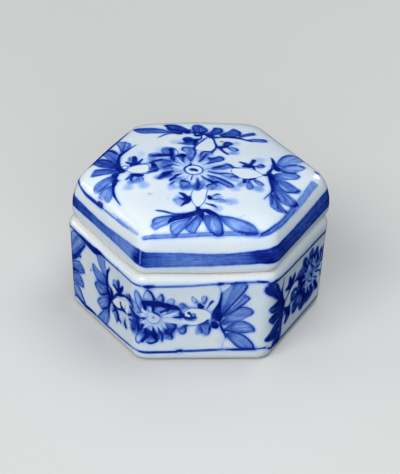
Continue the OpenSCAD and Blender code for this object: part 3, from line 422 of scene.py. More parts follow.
bP([(-1.0,6.4),(-1.1,7.4),(-.6,8.8),(.2,9.8),(1.2,10.4),(1.9,10),(1.9,9.0),(1.4,8.2),(.8,7.2),(.3,6.3),(-.3,5.9)], (2,12), .10,.1,.3)
bB([(-.2,10,.4),(-.6,9,.4),(-1.0,7.6,.4),(-.9,6.5,.5),(-.2,6.1,.6),(.6,6.5,.4)], .68)
bB([(1.9,11.8,1.0),(2.4,10.4,1.6),(2.6,9.2,1.6),(1.8,8,1.0),(1.1,7.0,1.0)], .93)
bP([(2.2,7.0),(2.6,8.2),(3.6,8.6),(4.6,7.6),(4.2,6.6),(3,6.4)], (4,10), .22,0,.3)
bB([(3.6,11.6,.6),(3.8,9.9,1.6),(4.8,8.6,1.6),(5.2,7.4,1.1),(4.6,6.7,.7),(3.4,6.4,.7),(2.4,6.8,.4)], .92)
bB([(3.9,12,.5),(4.6,10.8,1.0),(5.2,9.6,1.2)], .93)
bP([(5.4,7.4),(5.2,8.6),(6,8.8),(6.4,7.8)], (6,11), .28,0,.3)
bB([(5.6,11.9,.4),(6,10.8,.8),(6.6,9.8,1.1),(6.9,8.6,.9),(6.8,7.6,.7),(6.8,6.9,.4)], .84)
bP([(7.4,8),(8.2,8.6),(9.4,9.2),(9.9,8.4),(9.6,7.6),(8.6,7.5)], (8,11), .22,.3,.3)
bP([(7.6,13.2),(9,13.0),(9.9,12.2),(9.4,11),(8,11.2)], (6,14), .34,0,.3)
bB([(7,13,.4),(7.8,12.2,.8),(8.2,11,1.2),(8.0,10,1.3),(9.0,9.6,1.2),(9.6,8.6,.8),(9.6,7.9,.5)], .89)
bB([(8,13.9,.4),(9.2,13.4,.8),(10.3,12.8,1.1),(10.5,11.8,1.0),(9.8,10.8,1.1),(9.2,9.9,1.0)], .86)
bB([(10.8,11.6,.6),(11.6,11.6,.4)], .7)
bW([(2.6,16.6),(3.8,17.2),(5.2,16.8),(6.2,15.8),(6.4,14.4),(5.6,13.2),(4.2,12.8),(2.9,13.2),(2.2,14.4),(2.2,15.6)], 0,.3)
bB([(4.3,17.1,.7),(5.0,16.8,.7),(5.8,16.2,.6),(6.3,15.4,.3)], .84)
bB([(2.5,15.8,.35),(2.6,14.6,.35),(3.2,13.7,.4),(4.3,13.2,.45),(5.4,13.4,.4),(6.1,14.2,.35),(6.3,15.2,.3)], .44)
bB([(2.5,16.2,.25),(3.2,16.9,.3),(4.2,17.2,.4)], .36)
bB([(4.2,15.4,.7),(4.5,15.1,.6)], .40)
bB([(3.5,15.6,.2),(3.6,14.7,.25),(4.4,14.2,.25),(5.2,14.7,.25),(5.2,15.6,.2),(4.5,16.2,.2),(3.8,16.1,.2)], .17)
bH(4.3,15.0,1.8,1.8,0,.34)
for q in ((6.8, 14.6, 10.9, 13.2, .8), (6.7, 13.5, 8.2, 11.2, .6), (5.8, 12.7, 7.0, 10.4, .6), (4.9, 12.4, 5.5, 9.7, .5), (3.6, 12.5, 3.7, 10.6, .5),
          (2.7, 13.0, 1.4, 11.4, .5), (2.2, 14.2, .7, 13.2, .5), (2.2, 15.8, .5, 16.4, .6), (2.5, 16.7, 1.3, 18.0, .5), (3.7, 17.4, 3.3, 19.1, .5), (6.5, 16.4, 8.0, 17.2, .5), (6.9, 15.6, 11.0, 16.7, .6)):
    gap(*q, s=BODY)
bB([(3.4,16.2,.3),(2.7,15.6,.3)], .25)
# lines along the top and the bottom of the body are added where they run round

# ---- left arm of the front spray
bH(-7,10,2.4,2.4,0,.10); bH(-12.2,10.6,1.6,1.6,0,.22); bH(-10.6,20.4,1.6,1.2,0,.14); bH(-2,10.6,1.4,2.2,0,.35); bH(-3.4,19.6,2,1.6,0,.22)
bP([(-16.4,25.2),(-17.6,26.2),(-20,26.3),(-21.2,25.2),(-20.7,24),(-20.3,22.6),(-19.4,21.2),(-18.2,20.2),(-17,19.4),(-16.2,19),(-15.9,20.6),(-16.0,22.6),(-16.2,24.2)], (-15.4,16.4), .38,.5,.3)
bB([(-16.3,25.4,.5),(-16.6,24.2,.7),(-16.5,23.0,.4)], .55)
bB([(-18.4,24.6,.3),(-17.4,21.4,.35),(-16.8,19.4,.3)], .52)
bP([(-15.9,19.6),(-18,20),(-20,20.1),(-21.5,20.4),(-22.8,20.7),(-23.6,20),(-23.6,18.8),(-23,17.8),(-22.2,17),(-21.4,16.4),(-20,16.5),(-18,16.8),(-16.2,17.2)], (-14.4,18), .40,.6,.32)
bB([(-22.6,20.5,.4),(-23.3,19.9,.6),(-23.4,18.9,.6),(-22.9,18.0,.7),(-22.2,17.2,.6),(-21.4,16.5,.5)], .6)
bB([(-21.4,16.1,.5),(-20,16.3,.8),(-18.5,16.4,.8),(-17,16.8,.8),(-16,17.2,1)], .8)
bB([(-22.4,19,.3),(-20,18.4,.35),(-17.6,18,.3)], .5)
bB([(-24.8,17.2,.4),(-24.3,17.9,.4)], .55)
bP([(-15.8,16.2),(-17,16.3),(-19,16.0),(-20.8,15.8),(-21.8,15.2),(-22.6,14.2),(-22.4,13.4),(-21.6,12.7),(-20.6,12.1),(-19.8,12),(-18.8,12.6),(-17.4,13.5),(-16,14.2),(-15,14.6)], (-14.2,15), .46,.7,.34)
bB([(-21.4,15.2,.5),(-22.2,14.2,.9),(-22,13.4,.8),(-21,12.6,.6),(-20.2,12.1,.7)], .74)
bB([(-20.2,12,.5),(-19,12.2,.8),(-17.6,13.1,.9),(-16.2,13.9,.8),(-15.2,14.4,.8)], .84)
bB([(-21,14.4,.3),(-18.6,14.6,.3),(-16.4,14.9,.3)], .6)
bP([(-14.8,13.6),(-16,13.4),(-17.4,12.6),(-19,11.5),(-20.2,10.4),(-21.2,9.2),(-21.6,8.3),(-21,7.8),(-20,7.2),(-19,7.2),(-18,8),(-17,8.8),(-16,9.6),(-15.4,10.4),(-15,12)], (-14,13.4), .38,.6,.32)
bB([(-20,10.6,.4),(-21,9.4,.6),(-21.4,8.4,.7)], .65)
bB([(-20.8,7.9,.5),(-19.6,7.3,.5)], .5)
bB([(-19,7.2,.5),(-18,7.9,.9),(-16.8,8.8,.9),(-15.8,9.6,.9),(-15.2,10.6,.8)], .85)
bP([(-15.4,9),(-16.6,8.4),(-18,7.2),(-19.2,6.2),(-20.2,5),(-21,3.9),(-21.8,3),(-17,2.9),(-16.2,4),(-15.4,5.4),(-15,6.8),(-15.2,8)], (-14.4,11.5), .40,.6,.32)
bB([(-18.2,7.1,.4),(-19.2,6.0,.5),(-20.2,4.8,.6),(-21,3.8,.6),(-21.6,3.1,.5)], .74)
bB([(-15.4,5.6,.4),(-16.2,4.2,.5),(-17,3.2,.5)], .66)
bB([(-13.8,24.2,.3),(-14.4,23.2,.7),(-15.2,22,1.1),(-15.5,20.5,1.2),(-15.7,19,1.4),(-15.4,17.8,1.6),(-15.1,16.5,1.7),(-14.6,15,2.2),(-14.2,13.6,2.2),(-14.5,12,1.4),(-14.9,10.5,1.1),(-15.1,9,1.0),(-15.1,7.5,.8),(-14.9,6.6,.4)], .95)
bB([(-14,17.4,.9),(-13.2,16.7,1.4),(-13,15.8,1.5),(-13.4,14.8,1.4),(-13.6,13.6,1.2)], .96)
bW([(-14.5,16.2),(-14.9,16.7),(-14.6,17.2),(-14.2,16.7)], 0,.1)
bB([(-14.5,16.4,.5),(-14.6,16.9,.5)], .6)
bW([(-12.8,12.9),(-12.4,14.2),(-11.2,15.4),(-9.8,16.4),(-8,16.9),(-6,17.6),(-4.4,18.0),(-3.9,16.8),(-4.2,15.2),(-5.0,13.6),(-6.6,13),(-9,12.7),(-11,12.6)], .30,.25)
bB([(-13.2,14.2,1.0),(-12.4,14.9,.8),(-11.7,15.7,.8),(-10.9,16.6,.9),(-10,17.3,1.0),(-8.8,17.9,1.2),(-7.6,18.4,1.0),(-6.4,18.9,.8),(-5.4,19.1,.8),(-4.4,19.1,1.0),(-3.2,19.0,1.1),(-2.4,18.4,1.0),(-1.8,17.6,.7)], .94)
bB([(-3.4,20.8,.7),(-3.3,20.2,1.1),(-2.9,19.4,1.2)], .88)
bB([(-3.0,16.9,1.3),(-2.3,16.4,1.4),(-1.4,15.8,1.2)], .85)
bP([(-5.6,19.6),(-4.9,20.4),(-4,20.6),(-3.8,19.8),(-4.6,19.3)], (-3,18.6), .3,.3,.3)
bP([(-12.6,20.6),(-11.8,21.6),(-10.6,21.7),(-10,20.9),(-10.3,19.9),(-11.6,19.5),(-12.4,19.8)], (-9,18), .22,.3,.3)
bP([(-10.4,21.4),(-9.9,22.3),(-9.1,22.7),(-8.7,22),(-8.8,20.8),(-9.6,20)], (-9,18), .6,.6,.3)
bB([(-9.1,22.2,.9),(-9.1,21.3,1.1),(-9.3,20.2,1.3),(-9.2,19.2,1.4)], .88)
bB([(-6.9,21.8,.5),(-7.3,20.9,1.1),(-8.1,19.9,1.5),(-8.8,18.9,1.7)], .95)
bB([(-12.4,19.3,.5),(-11.4,19.2,.9),(-10.2,18.8,1.4),(-9,18.5,1.4)], .9)
bB([(-13.2,13,.9),(-12.2,12.6,.8),(-10.8,12.4,.8),(-9.4,12.6,.7),(-8.2,13.2,.7),(-7.2,13.7,.9),(-6.2,13.8,.8),(-5.6,13.3,.5)], .88)
bB([(-8.5,15.4,.8),(-8.3,14.6,.9),(-7.6,13.9,1.4),(-6.8,13.7,1.0)], .94)
bB([(-6,15.9,.4),(-5.9,15.1,.3),(-6.3,14.4,.4)], .45)
bH(-7.1,15.1,.8,.7,0,.22)
bP([(-12.0,9.8),(-11,9.7),(-10.5,8.7),(-10.7,7.3),(-11.5,7.6),(-12.1,8.7)], (-10.8,11), .30,.3,.3)
bB([(-12.2,12.2,1.2),(-11.4,11.6,1.5),(-10.6,11.0,1.6),(-10.1,10.2,1.5),(-9.8,9.2,1.5),(-9,8.8,.9),(-8.6,8.3,.5)], .95)
bB([(-11.4,11.6,.9),(-12,10.8,.8),(-12.6,10.2,.6),(-13.1,9.7,.35)], .88)
bB([(-10.2,9,.9),(-10.5,8.2,.8),(-10.9,7.3,.4)], .78)
bB([(-6.1,11,.3),(-6.3,10,.8),(-6.2,9,1.3),(-5.8,8.4,.9)], .95)
bB([(-5.6,8.7,.5),(-5.1,9.0,.3)], .5)
bB([(-4.4,13.5,.7),(-3.4,14.2,.9),(-2.4,14.9,.7)], .86)
bB([(-3.9,12.3,.6),(-3.0,12.6,.8),(-2.0,12.9,.5)], .74)
# ---- right-front face: leaves, bud and flower
bP([(43.4,19.6),(42.6,20.6),(41.6,22),(40.8,23.4),(39.8,24.6),(38.6,25.6),(37,26.2),(35.8,25.8),(35,24.6),(34.9,24),(35.6,23),(37,21.8),(38.6,20.4),(40.2,19),(41.6,18),(42.8,17.4)], (44.6,15.6), .74,.92,.45)
bB([(35.5,25.0,1.2),(36.0,24.1,2.2),(37.0,23.0,2.2),(38.4,21.6,1.4),(40,20.2,1.0),(41.6,18.6,.8)], .9)
bB([(36.4,25.8,.6),(38.4,25.2,.5),(40.4,23.2,.4),(42,21,.4)], .8)
bP([(43,17.4),(41.6,17.9),(39.6,18.1),(38,18.0),(37,17.6),(36.8,16.8),(37.6,15.8),(38.6,15.2),(40,15.0),(42,14.9),(43.4,15.2)], (45.2,15.4), .74,.92,.45)
bP([(42.8,14.7),(40.8,14.9),(38.8,14.7),(37.6,14.2),(37,13.4),(37.4,12.5),(38.4,11.6),(39.4,11.0),(41,11.2),(43,11.6)], (45.4,13.6), .72,.92,.45)
bP([(43.6,10.6),(41.6,10.8),(39.8,10.4),(38.4,9.4),(37.2,8.2),(36.2,7.2),(36.2,6.4),(37.2,5.9),(38.6,5.6),(40.2,5.2),(41.8,5.6),(43,6.8),(43.8,8.4)], (45.2,11.6), .72,.92,.45)
bP([(40.8,5.2),(39.9,4.2),(39.4,3.2),(40.2,2.6),(42,2.5),(43.6,2.6),(44.4,4.4),(43.8,6.2),(42.6,6.2),(41.4,5.6)], (45,9.4), .74,.92,.45)
bB([(43.0,17.2,1.0),(42.9,14.9,1.2),(43.2,12.0,1.4),(43.9,9.2,1.6),(44.4,6.4,1.6),(44.6,4.0,1.4),(44.2,2.4,1.0)], .70)
bB([(41.4,5.0,.8),(42.4,3.6,1.4),(43.4,2.4,1.2)], .68)
bB([(41.6,17.1,.4),(39.6,16.8,.3)], .8)
bB([(42,13.2,.4),(39.4,13.2,.3)], .8)
bB([(42,9,.4),(39.2,8,.3)], .82)
bB([(44.2,23.6,.3),(44.0,22,.6),(43.6,20.6,1.0),(43.5,19,1.4),(43.9,17.4,1.8),(44.4,16,2.0),(45.2,15,1.8),(45.6,14.2,1.6),(45.5,13.2,1.5),(45.2,12.2,1.4),(44.9,11.2,1.4),(44.9,10,1.2),(45.1,9.0,.9),(45.1,7,.8),(45,5,.8),(45,3.2,.5)], .93)
bB([(43.4,17.6,1.0),(43.8,15.8,1.4),(44.1,14,1.6),(44.3,12,1.2),(44.3,10,.8)], .9)
bH(46,10,.9,.9,0,.3)
bW([(46.4,12.8),(46.6,13.8),(47.6,14.8),(48.8,16),(50,17),(51.6,17.6),(53.2,17.4),(54.6,16.8),(55.2,15.8),(55.4,14.6),(54.6,13.4),(53,12.6),(51.2,11.9),(49.2,11.4),(47.6,11.6)], .2,.25)
bP([(50.0,15.0),(51,15.8),(52.8,15.9),(54.4,15.0),(55.4,13.4),(55.2,11.8),(53.4,11.5),(51.4,11.8),(50.2,12.9)], (55,12), .60,.3,.4)
bP([(54.8,16.4),(57.4,17.0),(60,15.2),(60.2,13),(58.6,11.4),(56,11.8),(54.8,13.6)], (58,13), .78,.3,.3)
bP([(52.4,10.8),(54.4,11.4),(56.4,12.4),(58.4,12.8),(60.4,11.4),(62.2,10.8),(65,10.4),(67.4,10.6),(69.0,8.8),(70.2,7),(69.6,6.2),(67.4,6.6),(66.2,5.9),(63.6,5.2),(61,5.4),(59,4.8),(57.2,5.8),(56.4,7.6),(54.6,6.9),(52.8,7.2),(52.0,8.8)], (62,14), .56,.6,.4)
bP([(52.6,18.4),(54.6,20.2),(56.6,20.6),(57,22.8),(58.4,23.1),(60.4,21.0),(61.2,22.8),(63.2,23.6),(64.8,21.6),(66,22.2),(67.4,21.6),(68.2,19.8),(70.2,20.0),(70.2,17),(67,16.4),(64.6,18.0),(62,18.2),(60,16.8),(57.4,16.8),(55.4,17.4)], (62,14), .54,.6,.4)
bP([(45.8,18.8),(47.4,19.6),(47.8,21.6),(49.0,21.6),(50,20.4),(51.4,21.6),(52.3,20.4),(51.4,18.8),(49.8,17.5),(47.8,17.9)], (50,17), .74,.6,.4)
bP([(46.6,11.9),(48.4,11.9),(50.4,11.0),(50.8,8.4),(50,7.0),(48.2,6.2),(47.2,6.8),(47.6,9.2),(46.6,10.6)], (46,13), .66,.4,.4)
bB([(48.2,22,.5),(48.7,21.2,1.0),(49.2,20.2,1.4),(49.4,19.2,1.6),(49.5,18.4,1.5)], .95)
bB([(51.6,20.9,.8),(51.2,20.0,1.3),(50.6,19.0,1.4),(50,18.3,1.2)], .95)
bB([(46.4,18.9,.7),(47.4,18.6,1.2),(48.6,18.2,1.3),(49.6,17.9,1.2)], .93)
bB([(46,14.8,.7),(47,15.4,.7),(48,16.2,.7),(49,17,.8),(50,17.7,.8),(51.6,18.2,.6),(52.6,18.4,.8),(54,18.3,1.0),(55.2,17.8,1.1)], .9)
bB([(46,12.6,.8),(47,12.0,.9),(48,11.6,.8),(49.4,11.6,.6),(50.4,12.0,.7)], .88)
bB([(50.8,14.4,.6),(50.9,13.4,.9),(51,12.7,.9),(51.4,12.2,.4)], .92)
bB([(52.2,15.8,.5),(53,15,.9),(53.9,14.2,1.2)], .88)
bB([(51.8,13.9,.4),(52.4,13.4,.5),(53.2,12.9,.7)], .7)
bB([(46.4,11.8,1.0),(47.2,11.4,1.2),(48.2,10.8,1.2),(49.2,10.0,1.1),(50,9.0,1.3),(50.3,8.2,.9)], .94)
bB([(48.6,10,.9),(48.6,9,1.0),(48.2,8,1.2),(47.8,6.9,.6)], .92)
bB([(49,9.6,1.2),(49.8,8.4,1.2)], .95)
bP([(53,8.9),(54.4,9.2),(55.6,8.4),(54.6,7.6),(53.2,7.6)], (56.4,10), .34,.3,.3)
bB([(52.6,10.1,.5),(53.4,9.5,.9),(54.2,8.9,.8)], .88)
bB([(52.2,8,.5),(53.2,7.3,1.2),(54.2,7.1,1.2),(55.2,7.5,.9),(56.4,8.0,.9)], .93)
bP([(54.4,19.8),(55.6,20.3),(57,19.9),(58.4,19),(58.8,17.8),(57.6,17.4),(56,18),(54.8,18.8)], (58.4,16.4), .52,.85,.4)
bB([(52.8,18.4,.7),(54.4,18.0,1.1),(56,17.2,1.6),(57.6,16.6,1.8),(59,16.8,1.2),(60.2,16.2,.6)], .95)
bB([(56,16.6,1.6),(57,15.2,2.2),(57.4,13.6,2.2),(56.4,12.8,1.8),(54.8,12.5,1.0)], .95)
bB([(57.8,13,2.2),(58.4,11.2,2.2),(59.2,9.8,2.0),(60.6,8.6,2.0),(62,7.8,1.8),(63.4,7.8,1.4)], .94)
bB([(54.8,12.2,.9),(56,11.8,.8),(57.4,12,1)], .9)
bP([(57.2,22.8),(58.2,23),(59.4,22.4),(60.2,21.4),(60.4,20.2),(59.2,19.8),(58,20.8),(57.2,21.8)], (61.6,17.4), .64,.9,.4)
bB([(57.6,21.4,1.0),(58.8,20.4,1.8),(60.2,19.5,2.2),(61.4,18.8,1.6)], .94)
bP([(61.2,22.8),(62,23.4),(63.2,23.4),(64,22.4),(64.2,21.2),(63.2,20.6),(62,21.4)], (64,18), .62,.92,.4)
bB([(62.6,20.8,1.6),(64,20.4,1.8),(65,19.4,1.8),(65.4,18.6,1.2)], .94)
bP([(65.9,21.8),(66.4,22.4),(67.2,21.8),(67.2,20.6),(66.4,19.8),(65.8,20.6)], (65.4,18), .72,.9,.4)
bB([(66,20,1.6),(67,18.8,2.0),(68.2,18.1,2.0),(69.4,18.4,1.2),(70,19.6,.8),(69.6,20.2,.4)], .94)
bB([(69.8,17,1.1),(68.6,17,1.5),(67.2,16.8,1.2)], .88)
bB([(62.6,18.1,.4),(64,17.2,.6),(65,16.4,.6),(65.8,15.4,.5),(66.6,14.8,.35)], .82)
bB([(66.6,14.8,.4),(68.4,14.4,.9),(70,14.2,.6)], .8)
bB([(66.8,13.6,.4),(68,13.1,.8),(69.4,12.6,.6),(70.6,12.0,.3)], .82)
bB([(61.6,14.0,.4),(62.2,13.0,.6),(63.2,12.1,.6),(64.8,11.4,.5)], .80)
bB([(63.1,15.0,.5),(63.8,14.3,1.1),(64.6,13.5,1.1),(65.1,12.8,.5)], .84)
bB([(59.8,14.2,.9),(59,13.9,1.2)], .86)
bB([(66.9,10.4,.7),(67.4,9.4,1.4),(68.2,8.4,1.6),(69,7.4,1.6),(69.8,6.7,1.0)], .94)
bB([(64.6,10.2,.7),(65.2,9,1.4),(65.8,7.8,1.8),(66.2,6.6,1.3)], .93)
bB([(61.4,10.6,.6),(62.4,9.6,1.4),(63.2,8.4,1.8)], .93)
bP([(62,7),(63,7.6),(64.4,7.2),(64.6,6),(63.6,5.2),(62.4,5.4),(61.6,6.2)], (63,10), .58,.5,.3)
bP([(57.4,6.4),(58.4,7.2),(59.6,7.2),(60.4,6.2),(60,5.2),(58.8,4.8),(57.8,5.4)], (60,10), .58,.9,.4)
bB([(57.6,8,1.4),(58.8,8.2,1.8),(60.4,7.4,1.7),(61.2,6.4,.7)], .91)
bH(63.2,15,3,2.6,0,.30); bH(68,15.4,2,1.4,0,.30); bH(59.6,17.4,1.6,1.2,0,.4); bH(54,10.4,2,1.2,0,.4)
bB([(62.8,18.8,.6),(63.8,17.2,.7),(64.7,15.8,.6),(65.3,14.6,.4)], .80)
bB([(66.0,12.2,.4),(67.4,11.4,.7),(68.8,10.6,.5)], .74)
bB([(64.8,12.2,.3),(65.4,11.2,.6)], .6)
bB([(60.9,12.2,.4),(61.8,11.4,.6)], .7)
for q in ((65.8, 16.4, 64.4, 20.0, .55), (66.4, 17.2, 66.8, 19.8, .4), (69.1, 16.5, 68.8, 19.6, .45), (62.5, 16.4, 61.6, 19.0, .5), (60.4, 12.8, 62.0, 9.0, .55),
          (62.2, 11.8, 64.3, 8.0, .5), (65.0, 11.2, 67.3, 7.9, .5), (60.6, 14.6, 57.6, 15.4, .5), (60.7, 16.2, 58.2, 17.4, .5), (60.4, 13.6, 57.8, 12.0, .45),
          (58.8, 9.6, 57.4, 7.6, .4), (64.2, 21.0, 64.6, 23.0, .4), (60.6, 19.0, 59.4, 21.4, .4), (54.6, 9.6, 56.6, 10.4, .4), (52.6, 14.4, 54.2, 13.6, .5)):
    gap(*q, s=BODY)
# ---- left-front face, the spray that comes round the corner
bP([(-34.8,24.5),(-33.8,26),(-31,26.4),(-28,26),(-26.8,25),(-27.6,23.6),(-29,22),(-30.4,20.6),(-31.4,19),(-33,17.2),(-36,15),(-39,13.4),(-41.6,12.8),(-41.2,14.4),(-39.6,16),(-38,18),(-36.4,20.4),(-35.6,22.6)], (-42.6,11), .42,.7,.36)
bB([(-27,24.6,.7),(-28.6,22.8,.9),(-30.2,21,1.3),(-31.4,19.4,1.6),(-33,17.8,1.7),(-35,16.4,1.7),(-37.6,15.0,1.6),(-40,13.8,1.4)], .8)
bB([(-32,25.4,.3),(-34.6,21.4,.35),(-37.4,17.6,.3)], .56)
bB([(-30.9,18.5,.5),(-30.1,19.2,.7)], .88)
bP([(-31,17),(-30,16.6),(-29,16),(-28.3,15.2),(-28.4,14.4),(-29.4,13.6),(-30.8,13.2),(-32.6,13.2),(-35,12.6),(-38,11.4),(-40.6,10.4),(-41.4,11.2),(-40,12.4),(-36,14.6),(-33.4,16.2)], (-43,10.6), .44,.7,.36)
bB([(-31,16.9,.4),(-29.8,16.3,.6),(-28.8,15.4,.7),(-28.6,14.6,.7),(-29.4,13.9,.4)], .7)
bB([(-30.6,13.2,.6),(-32.6,13.0,1.0),(-35,12.3,1.2),(-37.6,10.9,1.1),(-40,9.2,.9)], .82)
bP([(-31.6,12.4),(-30.4,11.8),(-29.4,10.8),(-29.1,9.6),(-29.6,8.7),(-31,8.4),(-32.6,8.6),(-34.4,8.4),(-36.4,7.6),(-38.6,6.4),(-40,6.4),(-39.4,7.8),(-37.6,9.6),(-35.4,11.2),(-33.4,12.2)], (-42.6,7.6), .42,.7,.36)
bB([(-31.2,12.2,.5),(-30.2,11.4,.7),(-29.5,10.4,.7),(-29.4,9.4,.7),(-30,8.7,.5)], .7)
bB([(-31.6,8.5,.4),(-34,8.5,.5),(-36.4,7.6,.6),(-38.4,6.4,.5)], .76)
bP([(-32.6,8.2),(-31.6,7.2),(-30.6,5.8),(-29.6,4.6),(-28.8,3.6),(-29.6,3),(-31.4,3.2),(-33,3.9),(-34.4,4.6),(-35.8,5.0),(-37,4.2),(-38.2,3.4),(-39,3.6),(-38.6,4.8),(-37.4,6),(-35.4,7.2),(-33.8,8)], (-42,6), .44,.7,.36)
bB([(-32.6,8,.5),(-31.4,6.8,.8),(-30.2,5.2,.9),(-29.2,3.9,.9)], .84)
bB([(-35.4,5.0,.4),(-33.6,3.9,.6),(-32,3.2,.7)], .8)
bP([(-41.4,9.4),(-40,8),(-39,6.2),(-38.6,4.2),(-39.2,3),(-40.6,3.4),(-42,5.4)], (-43,10), .45,.6,.34)
# ---- lines round the top and the foot of the body
LINES = []
def line(pts, tone): B(pts, tone, s=LINES)
line([(-36.6,26.7,.4),(-34,26.8,.5),(-31,26.5,.8),(-28.4,26.3,1.3),(-26,26.0,1.8),(-24,25.8,2.2),(-22,25.7,2.4),(-20.4,26.1,2.0),(-18.6,26.5,1.3),(-17,26.4,.8),(-14,26.3,.55),(-9,26.3,.5)], .92)
line([(-9,26.3,.5),(-5,26.15,.55),(-1,26.05,.6),(.8,25.95,.6)], .68)
line([(1.0,26.1,.4),(1.9,25.9,.6)], .45)
line([(1.9,25.9,.8),(3,25.8,1.3),(4.1,25.95,.9)], .88)
line([(4.1,25.9,.8),(10,26.0,.8),(15,26.2,.8),(20,26.6,.8),(25,26.95,.8),(30,27.3,.9),(33,27.3,.8)], .30)
line([(4.1,25.7,.6),(10,25.75,.5),(15,25.95,.45),(20,26.35,.4),(25,26.75,.45),(30,27.0,.5),(33,27.1,.6)], .54)
line([(33,27.3,.7),(34.2,27.2,.9),(35.4,27.1,.7),(36,26.8,.3)], .86)
line([(21.8,26.5,.5),(22.6,26.6,1.0),(23.6,26.7,.5)], .84)
line([(36,26.2,.8),(38.5,26.3,.9),(40,25.9,.8),(43,25.6,.7),(47,25.3,.7),(53,25.2,.65),(58,25.0,.7),(63,25.0,.75),(68,24.9,.7),(71.5,24.8,.65),(74,24.9,.6)], .88)
line([(-38.6,2.0,.6),(-37,2.6,.7),(-35.4,3.2,.6),(-34,3.5,.6),(-32.4,3.3,.7),(-30.6,3.0,1.1),(-29,2.8,1.3),(-27,2.9,1.2),(-25,3.0,1.1),(-23.4,2.9,.8)], .9)
line([(-23.4,2.9,.7),(-22,2.7,.5),(-20,2.8,.6)], .7)
line([(-20,2.8,.6),(-17,2.8,.8),(-12,2.9,.65),(-9,2.9,.65),(-5,3.15,.55),(-2,3.3,.4),(-.4,3.3,.35)], .78)
line([(-.4,3.2,.4),(.6,3.15,.8),(3,3.15,.9),(8,3.2,.8),(11,3.3,.8)], .82)
line([(11.2,3.65,.8),(12.2,3.7,1.0)], .92)
line([(12.4,3.5,.9),(16,3.6,.9),(20,3.8,.9),(22.6,3.9,.8),(23.8,3.95,.5)], .66)
line([(23.2,4.0,.75),(24.3,4.0,.75),(25.7,3.97,.7)], .5)
line([(25.3,3.95,.6),(28,3.95,.9),(31,3.95,.8),(33.4,4.0,.7)], .82)
line([(33.4,4.1,.5),(35.4,4.2,.5),(36.6,4.1,.7)], .8)
line([(37.6,3.4,.6),(40,2.7,.8),(46,2.4,.7),(52,2.3,.6),(60,2.4,.6),(68,2.5,.55),(74,2.6,.5)], .84)
# ---- border of the lid top
def tB(*a, **k): B(*a, s=TOP, **k)
tB([(-18.8,-32.2,.9),(-17.6,-32.25,1.2),(-16,-32.25,1.3),(-12,-32.15,1.2),(-6,-31.95,1.2),(0,-31.65,1.2),(6,-31.5,1.3),(10,-31.5,1.3),(13.6,-31.6,1.1)], tone=.38)
tB([(-18.6,-32.7,.5),(-17,-32.75,.45),(-12,-32.6,.35),(-6,-32.4,.3),(0,-32.1,.3),(6,-32.0,.35),(12,-32.0,.4),(14,-31.9,.4)], tone=.62)
tB([(-18.0,-31.8,.4),(-15,-31.75,.3),(-9,-31.6,.3),(-3,-31.3,.3),(4,-31.0,.3),(10,-31.0,.3),(14,-31.3,.35)], tone=.52)
tB([(15.3,-31.9,.8),(16.5,-31.4,1.0),(17.7,-30.6,1.2),(19.2,-29.0,1.3),(20.9,-26.9,1.35),(22.5,-24.3,1.4),(24.1,-21.2,1.5),(25.6,-18.4,1.7)], tone=.44)
tB([(24.6,-20.2,1.8),(26.2,-17.2,1.8),(27.6,-14.8,1.9),(29.2,-11.7,2.0),(30.8,-8.1,2.1),(32.2,-5.4,2.3)], tone=.34)
tB([(31.5,-5.0,.7),(33.7,-4.6,.7)], tone=.34)
tB([(14.9,-32.3,.5),(16.6,-31.9,.6),(18.2,-30.9,.6),(19.8,-29.2,.45),(21.5,-27.0,.4),(23.2,-24.2,.35),(24.9,-20.9,.3),(26.7,-17.9,.3)], tone=.66)
tB([(27.0,-17.8,.3),(28.6,-14.9,.3),(30.2,-11.7,.3),(31.8,-8.2,.3),(33.5,-5.0,.35)], tone=.44)
tB([(15.2,-31.7,.7),(16.4,-31.0,.8),(17.4,-30.1,.7),(18.6,-28.6,.5),(20.3,-26.5,.45),(21.9,-23.9,.4),(23.4,-20.9,.4),(24.9,-18.0,.35)], tone=.76)
tB([(24.8,-17.8,.35),(26.6,-14.6,.35),(28.2,-11.5,.3),(29.8,-7.9,.3),(31.2,-5.0,.3)], tone=.50)
tB([(-29.6,-15.8,.8),(-28,-18.0,1.3),(-25.8,-21.6,1.5),(-23.6,-24.9,1.8),(-21.6,-28.0,1.6),(-20.0,-30.6,1.0)], tone=.085)
tB([(-30.0,-15.4,.5),(-28.4,-18.1,.45),(-26.4,-21.2,.45),(-24.6,-24.1,.4),(-23.2,-26.4,.3)], tone=.40)
tB([(-27.2,-18.6,.3),(-25.2,-21.8,.35),(-23.2,-25.0,.3)], tone=.20)
tB([(-24.4,-24.2,.6),(-23.2,-25.9,.9),(-21.8,-28.0,.9),(-20.2,-30.4,.7)], tone=.24)

tB([(33.0,.6,.9),(34.0,.3,.8)], tone=.9)
tB([(21.4,22.9,.7),(22.6,21.9,.9)], tone=.88)
# the back edges of the lid top have the same border, which the photograph hides
def edge_pts(ang, a, ts, ws):
    c, q = math.cos(math.radians(ang)), math.sin(math.radians(ang))
    return [(a*c - t*q, a*q + t*c, w) for t, w in zip(ts, ws)]
# along the back left edge it is a broad dark stroke, seen as a rim against the ground: real blue paint, made near black
# as painted shade where the shoulder turns away from the light
tB([(-20.9,24.0,.9),(-22.4,22.0,1.9),(-25.0,17.7,2.5),(-27.9,12.7,2.7),(-30.5,8.4,2.6),(-32.5,5.5,2.3),(-34.4,4.4,1.8),(-36.6,3.9,1.0)], tone=.84)
tB([(-24.0,20.6,.5),(-27.6,14.4,.6),(-31.0,8.4,.5)], tone=.97)
for ang, sh in ((30, 0), (90, .15)):
    ts = [-15.6, -9, -3, 4, 10, 15.4]
    B(edge_pts(ang, 31.5 + sh, ts, [1.0, 1.4, 1.3, 1.4, 1.3, .9]), tone=.40)
    B(edge_pts(ang, 32.2 + sh, ts, [.5, .35, .3, .35, .4, .5]), tone=.68)
    B(edge_pts(ang, 30.9 + sh, ts, [.4, .3, .35, .3, .3, .4]), tone=.60)

